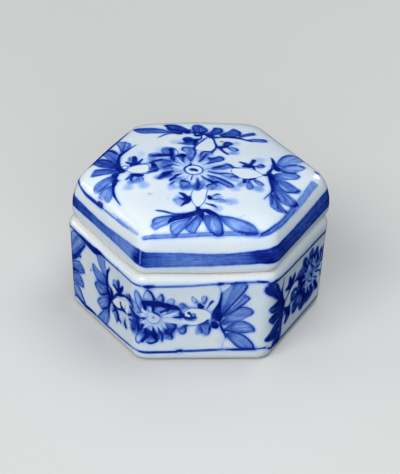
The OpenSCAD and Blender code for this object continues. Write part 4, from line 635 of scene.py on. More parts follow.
# ---- the sides that the photograph doesn't show repeat the front spray
def mean_s(sh): return sh[1] if sh[0] == 'H' else sum(p[0] for p in sh[1])/len(sh[1])
def span_s(sh):
    if sh[0] == 'H': return sh[1]-3*sh[3], sh[1]+3*sh[3]
    xs = [p[0] for p in sh[1]]; return min(xs)-1.2, max(xs)+1.2
def moved(sh, dx, dz=0.):
    if sh[0] == 'H': return ('H', sh[1]+dx, sh[2]+dz) + tuple(sh[3:])
    pts = [(p[0]+dx, p[1]+dz) + tuple(p[2:]) for p in sh[1]]
    if sh[0] == 'P': return ('P', pts, (sh[2][0]+dx, sh[2][1]+dz)) + tuple(sh[3:])
    return (sh[0], pts) + tuple(sh[2:])
FRONT = [sh for sh in BODY if -26.5 < mean_s(sh) < 33.7]
HIDDEN = []
for lo, hi, dx, dz in ((10.6, 33.7, 59.4, .2), (-26.5, 23.0, 155.7, .1), (-26.5, -12.9, 116.7, .3), (-5.6, 12.5, 107.7, .2), (20.6, 33.7, 99.6, -.1)):
    HIDDEN += [moved(sh, dx, dz) for sh in FRONT if lo < mean_s(sh) < hi]
line([(74,24.9,.6),(78,25.6,.55),(84,25.9,.6),(92,26.2,.7),(100,26.4,.55),(108,26.3,.5),(110,26.3,.8),(112,26.3,.6),(120,26.5,.55),(130,26.6,.6),(138,26.4,.7),(146,26.3,1.0),(150,26.2,.6),(160,26.2,.55),(172,26.4,.5),(180,26.6,.5),(183.6,26.7,.5)], .86)
line([(74,2.6,.5),(80,3.0,.7),(88,3.3,.8),(96,3.2,.7),(110,3.1,.8),(116,3.3,.6),(124,3.4,.8),(136,3.2,.7),(148,3.0,.8),(160,3.1,.7),(172,2.8,.6),(181.6,2.0,.6)], .84)
BODY_ALL = HIDDEN + BODY + LINES

# ------------------------------------------------------------------ laying the strokes
RAMP = .28        # half width in mm of the edge that the material sharpens again

def spline(pts, n=8, closed=False):
    p = np.asarray(pts, float)
    if len(p) < 3 and not closed:
        t = np.linspace(0, 1, n + 1)[:, None]
        return p[:1] * (1 - t) + p[-1:] * t
    q = np.vstack([p[-1], p, p[:2]]) if closed else np.vstack([2 * p[0] - p[1], p, 2 * p[-1] - p[-2]])
    out = []
    t = (np.arange(n) / n)[:, None]
    for i in range(1, len(q) - 2):
        a, b, c, d = q[i - 1], q[i], q[i + 1], q[i + 2]
        out.append(.5 * (2 * b + (c - a) * t + (2 * a - 5 * b + 4 * c - d) * t * t + (3 * b - a - 3 * c + d) * t ** 3))
    if not closed:
        out.append(p[-1:])
    return np.vstack(out)

def seg(X, Y, a, b, wa=0., wb=0.):
    dx, dy = b[0] - a[0], b[1] - a[1]
    t = np.clip(((X - a[0]) * dx + (Y - a[1]) * dy) / (dx * dx + dy * dy + 1e-12), 0, 1)
    return np.hypot(X - a[0] - t * dx, Y - a[1] - t * dy) - (wa + (wb - wa) * t)

def hash1(i):
    x = np.sin(i * 127.1 + 311.7) * 43758.5453
    return x - np.floor(x)

def vnoise(x, seed=0.):
    i = np.floor(x); f = x - i; f = f * f * (3 - 2 * f)
    return hash1(i + seed * 57.) * (1 - f) + hash1(i + 1 + seed * 57.) * f

def smooth(e0, e1, x):
    t = np.clip((x - e0) / (e1 - e0), 0, 1)
    return t * t * (3 - 2 * t)

def ramp(d):
    return np.clip(.5 - d / (2 * RAMP), 0, 1)

class Layer:
    """what the brush has left at each point: cover and tone of the wash and of the ink, a soft bloom, and the run of the brush"""
    def __init__(self, n):
        self.wc, self.wt, self.ic, self.it, self.bl = (np.zeros(n) for _ in range(5))
        self.brush = np.zeros((n, 3))

def wrap_shapes(shapes, period, lo, hi):
    """shapes of a strip that closes on itself, repeated where they cross its ends"""
    out = []
    for sh in shapes:
        a, b = span_s(sh)
        for k in (-1, 0, 1):
            if a + k * period < hi + 1 and b + k * period > lo - 1:
                out.append(moved(sh, k * period))
    return out

def lay(shapes, X, Y, layer):
    L = layer
    kept = []
    def bleed(m, amount):
        L.bl[m] = 1 - (1 - L.bl[m]) * (1 - np.clip(amount, 0, .9))
    for n, s in enumerate(shapes):
        if s[0] == 'H':
            _, x, y, rx, ry, ang, tone = s
            c, q = math.cos(math.radians(ang)), math.sin(math.radians(ang))
            m = np.nonzero(np.abs(X - x) + np.abs(Y - y) < 3.2 * (rx + ry))[0]
            dx, dy = X[m] - x, Y[m] - y
            r2 = ((dx * c + dy * q) / rx) ** 2 + ((dy * c - dx * q) / ry) ** 2
            bleed(m, tone * np.exp(-r2 * r2 * .5 - r2 * .25))
            continue
        o = spline(s[1], 6, closed=s[0] in 'PW')
        lo, hi = o[:, :2].min(0) - 2.4, o[:, :2].max(0) + 2.4
        m = np.nonzero((X > lo[0]) & (X < hi[0]) & (Y > lo[1]) & (Y < hi[1]))[0]
        if not len(m):
            continue
        x, y = X[m], Y[m]
        d = np.full(len(m), 9.)
        if s[0] == 'B':
            for a, b in zip(o[:-1], o[1:]):
                d = np.minimum(d, seg(x, y, a, b, a[2] / 2, b[2] / 2))
            tone = s[2] * (1 + .10 * (vnoise(x * .9 + y * .5 + n * 3.1, n) - .5))
            c = ramp(d)
            old = L.ic[m]
            win = (c * tone > old * L.it[m]) | ((old <= 0) & (d < .7))
            L.it[m] = np.where(win, tone, L.it[m])
            L.ic[m] = np.maximum(old, c)
            # the colour bleeds a little into the glaze round it
            d0 = np.maximum(d, 0)
            bleed(m, s[2] * (.12 * np.exp(-(d0 / .5) ** 2) + .035 * np.exp(-(d0 / 1.3) ** 2)))
            continue
        inside = np.zeros(len(m), bool)
        oo = np.vstack([o, o[:1]])
        for a, b in zip(oo[:-1], oo[1:]):
            d = np.minimum(d, seg(x, y, a, b))
            if a[1] != b[1]:
                c = (a[1] > y) != (b[1] > y)
                inside ^= c & (x < (b[0] - a[0]) * (y - a[1]) / (b[1] - a[1]) + a[0])
        d = np.where(inside, -d, d)
        c = ramp(d)
        if s[0] == 'W':
            L.wc[m] *= 1 - c; L.ic[m] *= 1 - c
            kept.append((m, c))
            if s[2] > 0:
                e = ramp(np.abs(d) - s[3] / 2)
                win = e * s[2] > L.ic[m] * L.it[m]
                L.it[m] = np.where(win, s[2], L.it[m])
                L.ic[m] = np.maximum(L.ic[m], e)
            continue
        _, _, root, fill, edge, ew = s
        ctr = o[:, :2].mean(0); ax = ctr - np.array(root); ln = np.hypot(*ax) + 1e-6; ax = ax / ln
        rx, ry = x - root[0], y - root[1]
        along, across = rx * ax[0] + ry * ax[1], -rx * ax[1] + ry * ax[0]
        al = along / (2 * ln)
        th = np.arctan2(across, np.maximum(along, .3))
        f = fill * (.81 if fill < .55 else 1.) * (1 + .62 * (vnoise(th * 26, n) - .5) + .42 * (vnoise(al * 3 + th * 4, n + 3.3) - .5))
        f = f + (1 - f) * .50 * smooth(.42, .02, al)        # darker where the brush was set down
        f = f + .10 * smooth(-.9, -.1, d)                    # pigment gathers at the edge
        f = np.clip(f, .05, .95)
        old = L.wc[m]
        f = np.where(old > .5, np.maximum(f, np.minimum(L.wt[m] + .25 * f, .9)), f)
        put = (c > .5) | ((old <= 0) & (d < .7)) | ((c > 0) & (old < .5))
        L.wt[m] = np.where(put, f, L.wt[m])
        L.wc[m] = np.maximum(old, c)
        run = np.stack([th * ln * 1.5, along, np.full(len(m), n * 1.7)], -1)
        L.brush[m] = np.where((put & (c > 0))[:, None], run, L.brush[m])
        d0 = np.maximum(d, 0)
        bleed(m, np.where(d > 0, fill * (.14 * np.exp(-(d0 / .5) ** 2) + .04 * np.exp(-(d0 / 1.3) ** 2)), 0.))
        if edge > 0:
            tone = np.clip(edge * (.86 + .28 * vnoise(th * 9 + al * 5, n + 7.)), 0, 1)
            e = ramp(np.abs(d + ew / 2) - ew / 2)
            win = e * tone > L.ic[m] * L.it[m]
            L.it[m] = np.where(win, tone, L.it[m])
            L.ic[m] = np.maximum(L.ic[m], e)
    # what was left white stays nearly white
    for m, c in kept:
        L.bl[m] *= 1 - .75 * c
    return L

# ------------------------------------------------------------------ the forms
R3 = math.sqrt(3.0)
SIDE = 36.7                 # one side of the hexagon along its rounded outline
ROUND = 6 * SIDE

def hexagon(a, r, n):
    """rounded hexagon of apothem a and corner radius r, n points evenly along it, from the front left corner toward +X"""
    r = min(r, .98 * a)
    flat, arc = 2 * (a - r) / R3, r * math.pi / 3
    u = np.arange(n) * 6.0 / n
    k = np.floor(u).astype(int)
    f = (u - k) * (flat + arc)
    mid, nxt = np.radians(-120 + 60 * k), np.radians(-60 + 60 * k)
    d = (a - r) * 2 / R3
    nm = mid + math.radians(30)
    h = arc / 2
    th = np.where(f < h, mid + f / r, np.where(f > h + flat, nxt - math.radians(30) + (f - h - flat) / r, nm))
    t = np.where((f >= h) & (f <= h + flat), f - h, 0.)
    corner = np.where(f > h + flat, nxt, mid)
    x = d * np.cos(corner) + r * np.cos(th) - np.sin(nm) * t
    y = d * np.sin(corner) + r * np.sin(th) + np.cos(nm) * t
    return np.stack([x, y], -1), u

def pchip(x, y, q):
    """monotone cubic through the stations"""
    h = np.diff(x); s = np.diff(y) / h
    m = np.zeros(len(x))
    for i in range(1, len(x) - 1):
        if s[i - 1] * s[i] > 0:
            w1, w2 = 2 * h[i] + h[i - 1], h[i] + 2 * h[i - 1]
            m[i] = (w1 + w2) / (w1 / s[i - 1] + w2 / s[i])
    def end(h0, h1, s0, s1):
        e = ((2 * h0 + h1) * s0 - h0 * s1) / (h0 + h1)
        if e * s0 <= 0: return 0.
        if s0 * s1 <= 0 and abs(e) > 3 * abs(s0): return 3 * s0
        return e
    m[0] = end(h[0], h[1], s[0], s[1]); m[-1] = end(h[-1], h[-2], s[-1], s[-2])
    i = np.clip(np.searchsorted(x, q, 'right') - 1, 0, len(h) - 1)
    t = (q - x[i]) / h[i]
    return ((1 + 2 * t) * (1 - t) ** 2 * y[i] + t * (1 - t) ** 2 * h[i] * m[i]
            + t * t * (3 - 2 * t) * y[i + 1] + t * t * (t - 1) * h[i] * m[i + 1])

def curve_stations(st, step):
    st = np.array(st, float)
    d = np.r_[0, np.cumsum(np.hypot(np.diff(st[:, 0]), np.diff(st[:, 1])))]
    t = np.linspace(0, d[-1], max(2, int(round(d[-1] / step))) + 1)
    return np.stack([pchip(d, st[:, k], t) for k in range(3)], -1), t

def straight_stations(st, step, near=.14):
    """the stations themselves, with more between them, and some close beside each so that its edge stays crisp"""
    st = np.array(st, float)
    rows = [st[0]]
    for a, b in zip(st[:-1], st[1:]):
        ln = math.hypot(b[0] - a[0], b[1] - a[1])
        ts = [1.0]
        if ln > .7:
            ts = [near / ln] + [float(v) for v in np.linspace(0, 1, max(2, int(ln / step) + 1) + 1)[1:-1]] + [1 - near / ln, 1.0]
            ts = sorted(set(round(v, 5) for v in ts))
        rows += [a + (b - a) * t for t in ts]
    return np.array(rows)

def lathe(name, rings, up):
    """closed mesh from rings (apothem, z, radius, count); counts may halve or double from ring to ring, and the two
    ends are poles
    """
    co, u_of, row_of = [], [], []
    index = []
    for k, (a, z, r, n) in enumerate(rings):
        if n == 1:
            index.append(np.array([len(co)])); co.append((0., 0., z)); u_of.append(0.); row_of.append(k); continue
        xy, u = hexagon(a, r, n)
        index.append(np.arange(n) + len(co))
        co += [(x, y, z) for x, y in xy]; u_of += list(u); row_of += [k] * n
    faces = []
    for A, B in zip(index[:-1], index[1:]):
        n, m = len(A), len(B)
        if n == 1:
            fs = [(A[0], B[j], B[(j + 1) % m])[::-1] for j in range(m)]
        elif m == 1:
            fs = [(A[j], A[(j + 1) % n], B[0]) for j in range(n)]
        elif n == m:
            A1, B1 = np.roll(A, -1), np.roll(B, -1)
            fs = np.stack([A, A1, B1, B], -1).tolist()
        elif m == 2 * n:
            fs = []
            for j in range(n):
                a0, a1, b0, b1, b2 = A[j], A[(j + 1) % n], B[2 * j], B[2 * j + 1], B[(2 * j + 2) % m]
                fs += [(a0, b1, b0), (a0, a1, b1), (a1, b2, b1)]
        elif n == 2 * m:
            fs = []
            for j in range(m):
                b0, b1, a0, a1, a2 = B[j], B[(j + 1) % m], A[2 * j], A[2 * j + 1], A[(2 * j + 2) % n]
                fs += [(a0, a1, b0), (a1, b1, b0), (a1, a2, b1)]
        else:
            raise ValueError((name, n, m))
        faces += [tuple(int(v) for v in f) for f in fs]
    if not up:
        faces = [f[::-1] for f in faces]
    return np.array(co), np.array(u_of), np.array(row_of), faces

def make_mesh(name, co, faces, smooth_shading=True):
    me = bpy.data.meshes.new(name)
    me.from_pydata((co * .001).tolist(), [], faces)
    me.polygons.foreach_set("use_smooth", [smooth_shading] * len(faces))
    me.update()
    ob = bpy.data.objects.new(name, me)
    bpy.context.scene.collection.objects.link(ob)
    return ob

def put_attribute(me, name, values):
    values = np.asarray(values, np.float32)
    if values.ndim == 1:
        me.attributes.new(name, 'FLOAT', 'POINT').data.foreach_set('value', values)
    else:
        me.attributes.new(name, 'FLOAT_VECTOR', 'POINT').data.foreach_set('vector', values.ravel())

def put_uv(me, uv_of_vertex, fix=None):
    """a map of its own for each point of each face; fix moves a face's points to one side of the cut"""
    layer = me.uv_layers.new(name="OFBake")
    loops = np.zeros(len(me.loops), int)
    me.loops.foreach_get("vertex_index", loops)
    uv = uv_of_vertex[loops]
    if fix is not None:
        uv = fix(uv, loops)
    layer.data.foreach_set("uv", uv.astype(np.float32).ravel())
    me.uv_layers.active = layer

BODY_OUT = [(30.05, 0.0, 3.8), (30.7, 0.25, 4.3), (31.2, 0.8, 4.7), (31.55, 1.8, 5.0), (31.93, 7.43, 5.0), (32.28, 14.85, 5.0),
            (32.6, 22.3, 5.0), (32.9, 26.6, 5.0), (32.75, 27.7, 4.9), (32.4, 28.55, 4.6), (31.95, 29.15, 4.2), (31.5, 29.53, 3.9),
            (31.15, 29.7, 3.7)]
BODY_UNDER = [(0, 1.3, 0), (25.85, 1.3, 2.6), (26.85, 1.05, 3.0), (27.45, .35, 3.2), (27.55, .06, 3.25), (27.62, 0, 3.3), (30.05, 0, 3.8)]
BODY_IN = [(31.15, 29.7, 3.7), (29.05, 29.7, 4.5), (28.9, 29.9, 4.4), (28.9, 32.7, 4.4), (28.7, 33.05, 4.3), (28.35, 33.25, 4.1),
           (27.75, 33.25, 4.1), (27.35, 33.05, 4.0), (27.2, 32.65, 4.0), (27.1, 19.0, 4.0), (26.9, 9.5, 4.1), (26.5, 7.7, 4.4),
           (25.6, 6.2, 4.6), (24.2, 5.35, 4.4), (22.4, 5.0, 3.8), (0, 5.0, 0)]
SEAT = 29.7
# the seam of a hand-made pair isn't level: how far its edge drops or rises round the box
SEAM = [(-36.7, -.4), (-28, -.7), (-17, -1.15), (-9, -1.15), (-2, -.85), (5, -.6), (12, -.7), (18, -.85), (27, -.65), (33, -.4), (36.7, -.2), (45, .1),
        (57, .3), (66, .1), (73.4, 0), (92, -.2), (110, .1), (130, -.1), (147, .1), (165, -.2), (183.5, -.4)]

def seam(u):
    s = np.asarray(u) * SIDE
    s = np.where(s > ROUND - SIDE, s - ROUND, s)
    x = np.array([q[0] for q in SEAM]); y = np.array([q[1] for q in SEAM])
    i = np.clip(np.searchsorted(x, s, 'right') - 1, 0, len(x) - 2)
    f = (s - x[i]) / (x[i + 1] - x[i])
    return y[i] + (y[i + 1] - y[i]) * f * f * (3 - 2 * f)
LID_SHIFT = (.6, .6)
LID_OUT = [(0.0, 16.30, 0.0), (5.65, 16.20, 5.2), (10.65, 15.92, 8.6), (15.65, 15.52, 10.6), (20.15, 15.05, 11.0), (23.85, 14.52, 10.2),
           (26.45, 13.98, 9.0), (28.25, 13.36, 7.8), (29.55, 12.62, 6.8), (30.45, 11.75, 6.0), (31.15, 10.6, 5.5), (31.7, 9.2, 5.2),
           (32.2, 7.3, 5.0), (32.55, 5.2, 4.9), (32.65, 3.2, 4.9), (32.55, 1.7, 4.8), (32.25, 0.8, 4.6), (31.85, 0.26, 4.3), (31.45, 0.0, 4.0)]
# name, place, width, height, power, colour
LIGHTS = [
    ("key", (-.75, -.85, 1.15), .8, .8, 12.5, (1.0, .985, .965)),
    ("front_fill", (.0, -1.4, .55), 1.1, .8, 11.0, (.97, .99, 1.0)),
    ("right_fill", (.55, .15, 1.5), .8, .8, 8.4, (.93, .97, 1.0)),
    ("back_fill", (.1, .9, 1.2), 1.0, .6, 2.4, (.97, .985, 1.0)),
    ("left_fill", (-1.4, .25, .09), .5, .8, 6.4, (1.0, .92, .84)),
    ("rim", (-.388, .148, .110), .06, .14, .20, (1.0, 1.0, 1.0)),
    ("glint", (.87, .985, .52), .36, .30, 3.4, (1.0, 1.0, 1.0)),
]
WORLD = .20

LID_IN = [(31.45, 0, 4.0), (30.2, 0, 5.3), (30.0, .3, 5.2), (30.0, 4.4, 5.2), (29.75, 6.4, 5.2), (29.1, 8.2, 5.3), (27.9, 9.4, 5.8), (26.0, 10.3, 7.0),
          (22.5, 10.9, 9.0), (18.0, 11.5, 9.8), (12.0, 12.15, 8.4), (6.0, 12.5, 4.0), (0, 12.6, 0)]

def disc_chart(xy, a, l):
    return xy * (l / np.maximum(a, 1e-6))[:, None]

# ------------------------------------------------------------------ body
def build_body():
    STEP, N = .32, 720
    under = straight_stations(BODY_UNDER, 2.4)
    outer, t_out = curve_stations(BODY_OUT, STEP)
    inner = straight_stations(BODY_IN, 1.4)
    rings, zone, run = [], [], []
    length = 0.
    prev = None
    for k, (a, z, r) in enumerate(under):
        length += 0 if prev is None else math.hypot(a - prev[0], z - prev[1]); prev = (a, z)
        n = 1 if a < 1e-6 else (12 if a < 1.6 else 45 if a < 8 else 90 if a < 22 else 180 if a < 28.2 else 360)
        if k == len(under) - 1: n = N
        rings.append((a, z, r, n)); zone.append(0); run.append(length)
    base = length
    for (a, z, r), t in zip(outer[1:], t_out[1:]):
        rings.append((a, z, r, N)); zone.append(1); run.append(t)
    length, prev = 0., tuple(inner[0][:2])
    for a, z, r in inner[1:]:
        length += math.hypot(a - prev[0], z - prev[1]); prev = (a, z)
        n = 1 if a < 1e-6 else (12 if a < 1.6 else 45 if a < 8 else 90 if a < 20 else 180 if a < 26.95 else 360)
        rings.append((a, z, r, n)); zone.append(2); run.append(length)
    # counts only halve or double from one ring to the next
    rings = settle(rings)
    co, u, row, faces = lathe("body", rings, True)
    a_of = np.array([r[0] for r in rings])[row]; zone = np.array(zone)[row]; run = np.array(run)[row]
    z = co[:, 2].copy()
    lift = seam(u) * np.where(zone == 1, smooth(26.9, 29.7, z), np.where((zone == 2) & (z > 29), smooth(29.2, 30.4, a_of) * smooth(29.95, 29.75, z), 0.))
    flat_z = z
    co[:, 2] += lift
    ob = make_mesh("porcelain_body", co, faces)
    me = ob.data
    s = u * SIDE
    lo, hi = -60.0, ROUND - 60.0
    s = np.where(s > hi, s - ROUND, s)
    L = Layer(len(co))
    m = np.nonzero(zone == 1)[0]
    part = Layer(len(m))
    lay(wrap_shapes(BODY_ALL, ROUND, lo, hi), s[m], flat_z[m], part)
    for key in ('wc', 'wt', 'ic', 'it', 'bl', 'brush'):
        getattr(L, key)[m] = getattr(part, key)
    # bare clay: the foot ring, the seat and the top of the flange
    z = flat_z
    bare = np.where(zone == 0, smooth(26.9, 27.3, a_of), 0.)
    bare = np.where(zone == 1, np.maximum(smooth(.75, .25, z), smooth(29.25, 29.6, z)), bare)
    bare = np.where(zone == 2, np.maximum(smooth(29.95, 29.8, z) * (a_of > 28.9), smooth(32.7, 33.0, z)), bare)
    # cream where the glaze thins over the shoulder, and near the foot
    thin = np.where(zone == 1, np.maximum(smooth(27.2, 28.6, z) * .9, smooth(1.6, .5, z) * .9), 0.)
    thin = np.where((zone == 2) & (z > 28), 1., thin)
    finish_attributes(me, L, bare, thin)
    uv = np.zeros((len(co), 2))
    A = 112.
    ss = (u * SIDE)
    uv[zone == 1] = np.stack([ss, run], -1)[zone == 1]
    d0 = disc_chart(co[:, :2], a_of, run)
    uv[zone == 0] = (d0 * .52)[zone == 0] + (93.6, 62.)
    scale2 = 17.5 / run[zone == 2].max() * .98
    back = run[zone == 2].max() - run + .5
    uv[zone == 2] = (disc_chart(co[:, :2], a_of, np.maximum(back, 0)) * scale2)[zone == 2] + (93.6, 20.)
    zone_face = np.array([zone[list(f)].max() for f in faces])
    poly_of_loop = np.repeat(np.arange(len(faces)), [len(f) for f in faces])
    def fix(w, loops):
        w = w.copy()
        strip = zone_face[poly_of_loop] == 1
        sl = ss[loops]; rl = np.where(zone[loops] == 0, 0., run[loops])
        top = np.zeros(len(faces)); np.maximum.at(top, poly_of_loop, sl)
        low = np.full(len(faces), 1e9); np.minimum.at(low, poly_of_loop, sl)
        sl = np.where(((top - low)[poly_of_loop] > 100) & (sl < 50), sl + ROUND, sl)
        mid = np.zeros(len(faces)); np.add.at(mid, poly_of_loop, sl)
        mid /= np.bincount(poly_of_loop, minlength=len(faces))
        third = np.clip(np.floor(mid / (2 * SIDE)), 0, 2)[poly_of_loop]
        w[strip] = np.stack([sl - third * 2 * SIDE + .6, rl + third * 36.5 + .8], -1)[strip]
        # the seat's first ring joins the outside to the inside
        edge = (zone_face[poly_of_loop] == 2) & (zone[loops] == 1)
        if edge.any():
            q = disc_chart(co[:, :2], a_of, np.full(len(co), run[zone == 2].max() + .5)) * scale2 + (93.6, 20.)
            w[edge] = q[loops][edge]
        return w / A
    put_uv(me, uv, fix)
    return ob

def settle(rings):
    """makes every ring's count equal to its neighbour's, or half or double it"""
    ok = [12, 45, 90, 180, 360, 720]
    out = [list(r) for r in rings]
    # toward a pole the counts fall by halves; 45 to 12 would not, so small rings take 45
    for r in out:
        if r[3] == 12: r[3] = 45
    for _ in range(8):
        changed = False
        for i in range(len(out) - 1):
            a, b = out[i][3], out[i + 1][3]
            if a == 1 or b == 1: continue
            if a > 2 * b: out[i + 1][3] = a // 2; changed = True
            elif b > 2 * a: out[i][3] = b // 2; changed = True
        if not changed: break
    return [tuple(r) for r in out]

def finish_attributes(me, L, bare, thin):
    for name, v in (("wash_cover", L.wc), ("wash_tone", L.wt), ("ink_cover", L.ic), ("ink_tone", L.it), ("bloom", L.bl), ("bare", bare), ("thin", thin), ("brush", L.brush)):
        put_attribute(me, name, v)

# ------------------------------------------------------------------ lid
BAND_TOP = [(-45, -35.6), (-36.7, -36.0), (-34.9, -36.6), (-26, -37.2), (-18, -37.4), (-10, -36.8), (-3.5, -36.45), (-1.0, -36.3), (.3, -36.65), (1.4, -36.75), (8, -36.85),
            (18.3, -37.25), (24.4, -37.25), (30, -36.6), (33.5, -36.2), (36.5, -35.7), (40, -35.7), (46, -35.75), (58, -35.45), (66, -35.1), (73.4, -34.8),
            (80, -34.9), (92, -35.6), (104, -35.2), (110, -34.8), (120, -35.8), (132, -36.2), (147, -35.5), (160, -36.3), (170, -36.1), (175.2, -35.6)]
BAND_LOW = [(-45, -39.8), (-36.7, -39.7), (-33, -39.9), (-20, -40.1), (-10, -40.35), (-3, -40.8), (-1, -41.0), (1.4, -41.3), (8, -41.2), (18, -41.05), (28, -40.7), (33, -40.4), (36.5, -40.6), (40, -40.75), (47, -40.7),
            (58, -40.55), (66, -40.5), (73.4, -40.3), (92, -40.3), (110, -40.1), (130, -40.5), (147, -40.2), (175.2, -39.8)]
# tone of the band round the lid's side: brushwork, and on the right-front face (s 36.7 to 73.4) darker as painted shade
# of that face
BAND_TONE_AND_SHADE = [(-45, .72), (-36.7, .74), (-30, .64), (-22, .50), (-12, .37), (-5, .31), (-2.6, .44), (-1.0, .78), (.6, .80), (2.5, .56), (7, .44), (14, .38), (22, .40), (28, .52),
             (32, .74), (36.7, .84), (39, .76), (46, .64), (56, .62), (66, .68), (72, .80), (74, .80), (82, .66), (98, .56), (108, .78), (112, .80), (120, .58), (136, .54), (146, .82), (150, .76), (162, .56), (175.2, .80)]

def lay_band(s, v, L):
    """the broad band round the lid's side, drawn with one brush and joined at the corners"""
    def at(table): return np.interp(s, [t[0] for t in table], [t[1] for t in table])
    wob = .10 * (vnoise(s * .55, 3.) - .5) + .05 * (vnoise(s * 1.9, 5.) - .5)
    d = np.maximum(v - at(BAND_TOP) - wob, at(BAND_LOW) + wob * .6 - v)
    # a thin white line is left in the band on the front left corner: painted highlight on the corner's ridge, where the
    # glaze also runs thin
    gap = .17 - np.abs(s + .12)
    gap = np.where((v > -40.75) & (v < -34), gap, -9)
    d = np.maximum(d, gap)
    c = ramp(d)
    streak = vnoise(v * 3.4 + .5 * vnoise(s * .12, 9.), 11.) * .6 + vnoise(v * 7.3 + s * .015, 12.) * .4 - .5
    slow = vnoise(s * .23 + v * .2, 14.) - .5
    # the band's tone, with painted shade on the right-front face
    tone = at(BAND_TONE_AND_SHADE) * (1 + .42 * streak + .22 * slow)
    tone = tone + .16 * smooth(-.7, -.1, d)
    tone = tone + .42 * np.exp(-((s + 2.1) / 1.4) ** 2 - ((v + 39.6) / 1.2) ** 2)
    put = d < .7
    L.wt[:] = np.where(put, np.clip(tone, .05, .96), L.wt)
    L.wc[:] = np.maximum(L.wc, c)
    run = np.stack([v * 1.6, s, np.full(len(s), 5.)], -1)
    L.brush[:] = np.where(put[:, None], run, L.brush)
    L.bl[:] = np.maximum(L.bl, .10 * np.exp(-(np.maximum(d, 0) / .8) ** 2))

def build_lid():
    STEP, N = .315, 720
    outer, t_out = curve_stations(LID_OUT, STEP)
    inner = straight_stations(LID_IN, 1.5)
    rings, zone, run = [], [], []
    for (a, z, r), t in zip(outer, t_out):
        n = 1 if t < 1e-6 else (45 if a < 2.2 else 90 if a < 4.2 else 180 if a < 8.4 else 360 if a < 16.6 else N)
        rings.append((max(a, 0 if n == 1 else .05), z, r, n)); zone.append(0); run.append(t)
    length, prev = 0., tuple(inner[0][:2])
    for a, z, r in inner[1:]:
        length += math.hypot(a - prev[0], z - prev[1]); prev = (a, z)
        n = 1 if a < 1e-6 else (45 if a < 8 else 90 if a < 20 else 180 if a < 29.9 else 360)
        rings.append((a, z, r, n)); zone.append(1); run.append(length)
    rings = settle(rings)
    co, u, row, faces = lathe("lid", rings, False)
    a_of = np.array([r[0] for r in rings])[row]; zone = np.array(zone)[row]; run = np.array(run)[row]
    L = Layer(len(co))
    m = np.nonzero(zone == 0)[0]
    part = Layer(len(m))
    chart = disc_chart(co[m, :2], a_of[m], run[m])
    lay(TOP, chart[:, 0], chart[:, 1], part)
    s = u[m] * SIDE
    s = np.where(s > ROUND - 45, s - ROUND, s)
    side = run[m] > 33
    low = Layer(int(side.sum()))
    for key in ('wc', 'wt', 'ic', 'it', 'bl', 'brush'):
        getattr(low, key)[:] = getattr(part, key)[side]
    lay_band(s[side], -run[m][side], low)
    for key in ('wc', 'wt', 'ic', 'it', 'bl', 'brush'):
        getattr(part, key)[side] = getattr(low, key)
        getattr(L, key)[m] = getattr(part, key)
    z = co[:, 2].copy()
    drop = seam(u) * np.where(zone == 0, smooth(3.0, .4, z), smooth(1.4, .2, z) * smooth(30.0, 30.6, a_of))
    co[:, 2] += drop
    bare = np.where(zone == 0, smooth(.35, .10, z), np.where(a_of > 29.95, smooth(.6, .3, z), 0.))
    thin = np.where(zone == 0, np.maximum(smooth(1.3, .4, z), 0), 0.)
    # made by hand, the lid's shoulder stands a little fuller at the back and at the back left
    out, along = co[:, 1] * .5 - co[:, 0] * .866, co[:, 0] * .5 + co[:, 1] * .866
    left = .80 * np.exp(-(along / 15.) ** 2) * smooth(25., 30.5, out) * smooth(7., 11., z) * (zone == 0)
    co[:, 2] += .62 * np.exp(-((co[:, 0] + 1.2) / 12.) ** 2) * smooth(20., 28., co[:, 1]) * smooth(7., 11.5, z) * (zone == 0)
    co[:, 2] += left
    co = co + (LID_SHIFT[0], LID_SHIFT[1], SEAT)
    ob = make_mesh("porcelain_lid", co, faces)
    me = ob.data
    finish_attributes(me, L, bare, thin)
    iron = np.zeros(len(co))
    for x, y, rad, k in ((6.35, 13.8, .62, .80), (6.05, 13.9, .18, 1.0), (-15.5, -14.5, .24, .46), (-10.5, -17.5, .22, .46)):
        q = np.hypot(chart[:, 0] - x, chart[:, 1] - y)
        iron[m] = np.maximum(iron[m], k * smooth(rad + .16, rad - .16, q))
    put_attribute(me, "iron", iron)
    uv = np.zeros((len(co), 2))
    A = 120.
    flat = co[:, :2] - LID_SHIFT
    uv = disc_chart(flat, a_of, run) + (50.6, 45.)
    back = run[zone == 1].max() - run + .4
    sc = 16.5 / (run[zone == 1].max() + .4)
    uvi = disc_chart(flat, a_of, np.maximum(back, 0)) * sc + (102., 102.)
    uvi[zone == 0] = (disc_chart(flat, a_of, np.full(len(co), 16.5)) + (102., 102.))[zone == 0]
    uv[zone == 1] = uvi[zone == 1]
    inside_face = np.array([zone[list(f)].max() for f in faces])
    poly_of_loop = np.repeat(np.arange(len(faces)), [len(f) for f in faces])
    def fix(w, loops):
        w = w.copy()
        sel = (inside_face[poly_of_loop] == 1) & (zone[loops] == 0)
        w[sel] = uvi[loops][sel]
        return w / A
    put_uv(me, uv, fix)
    return ob

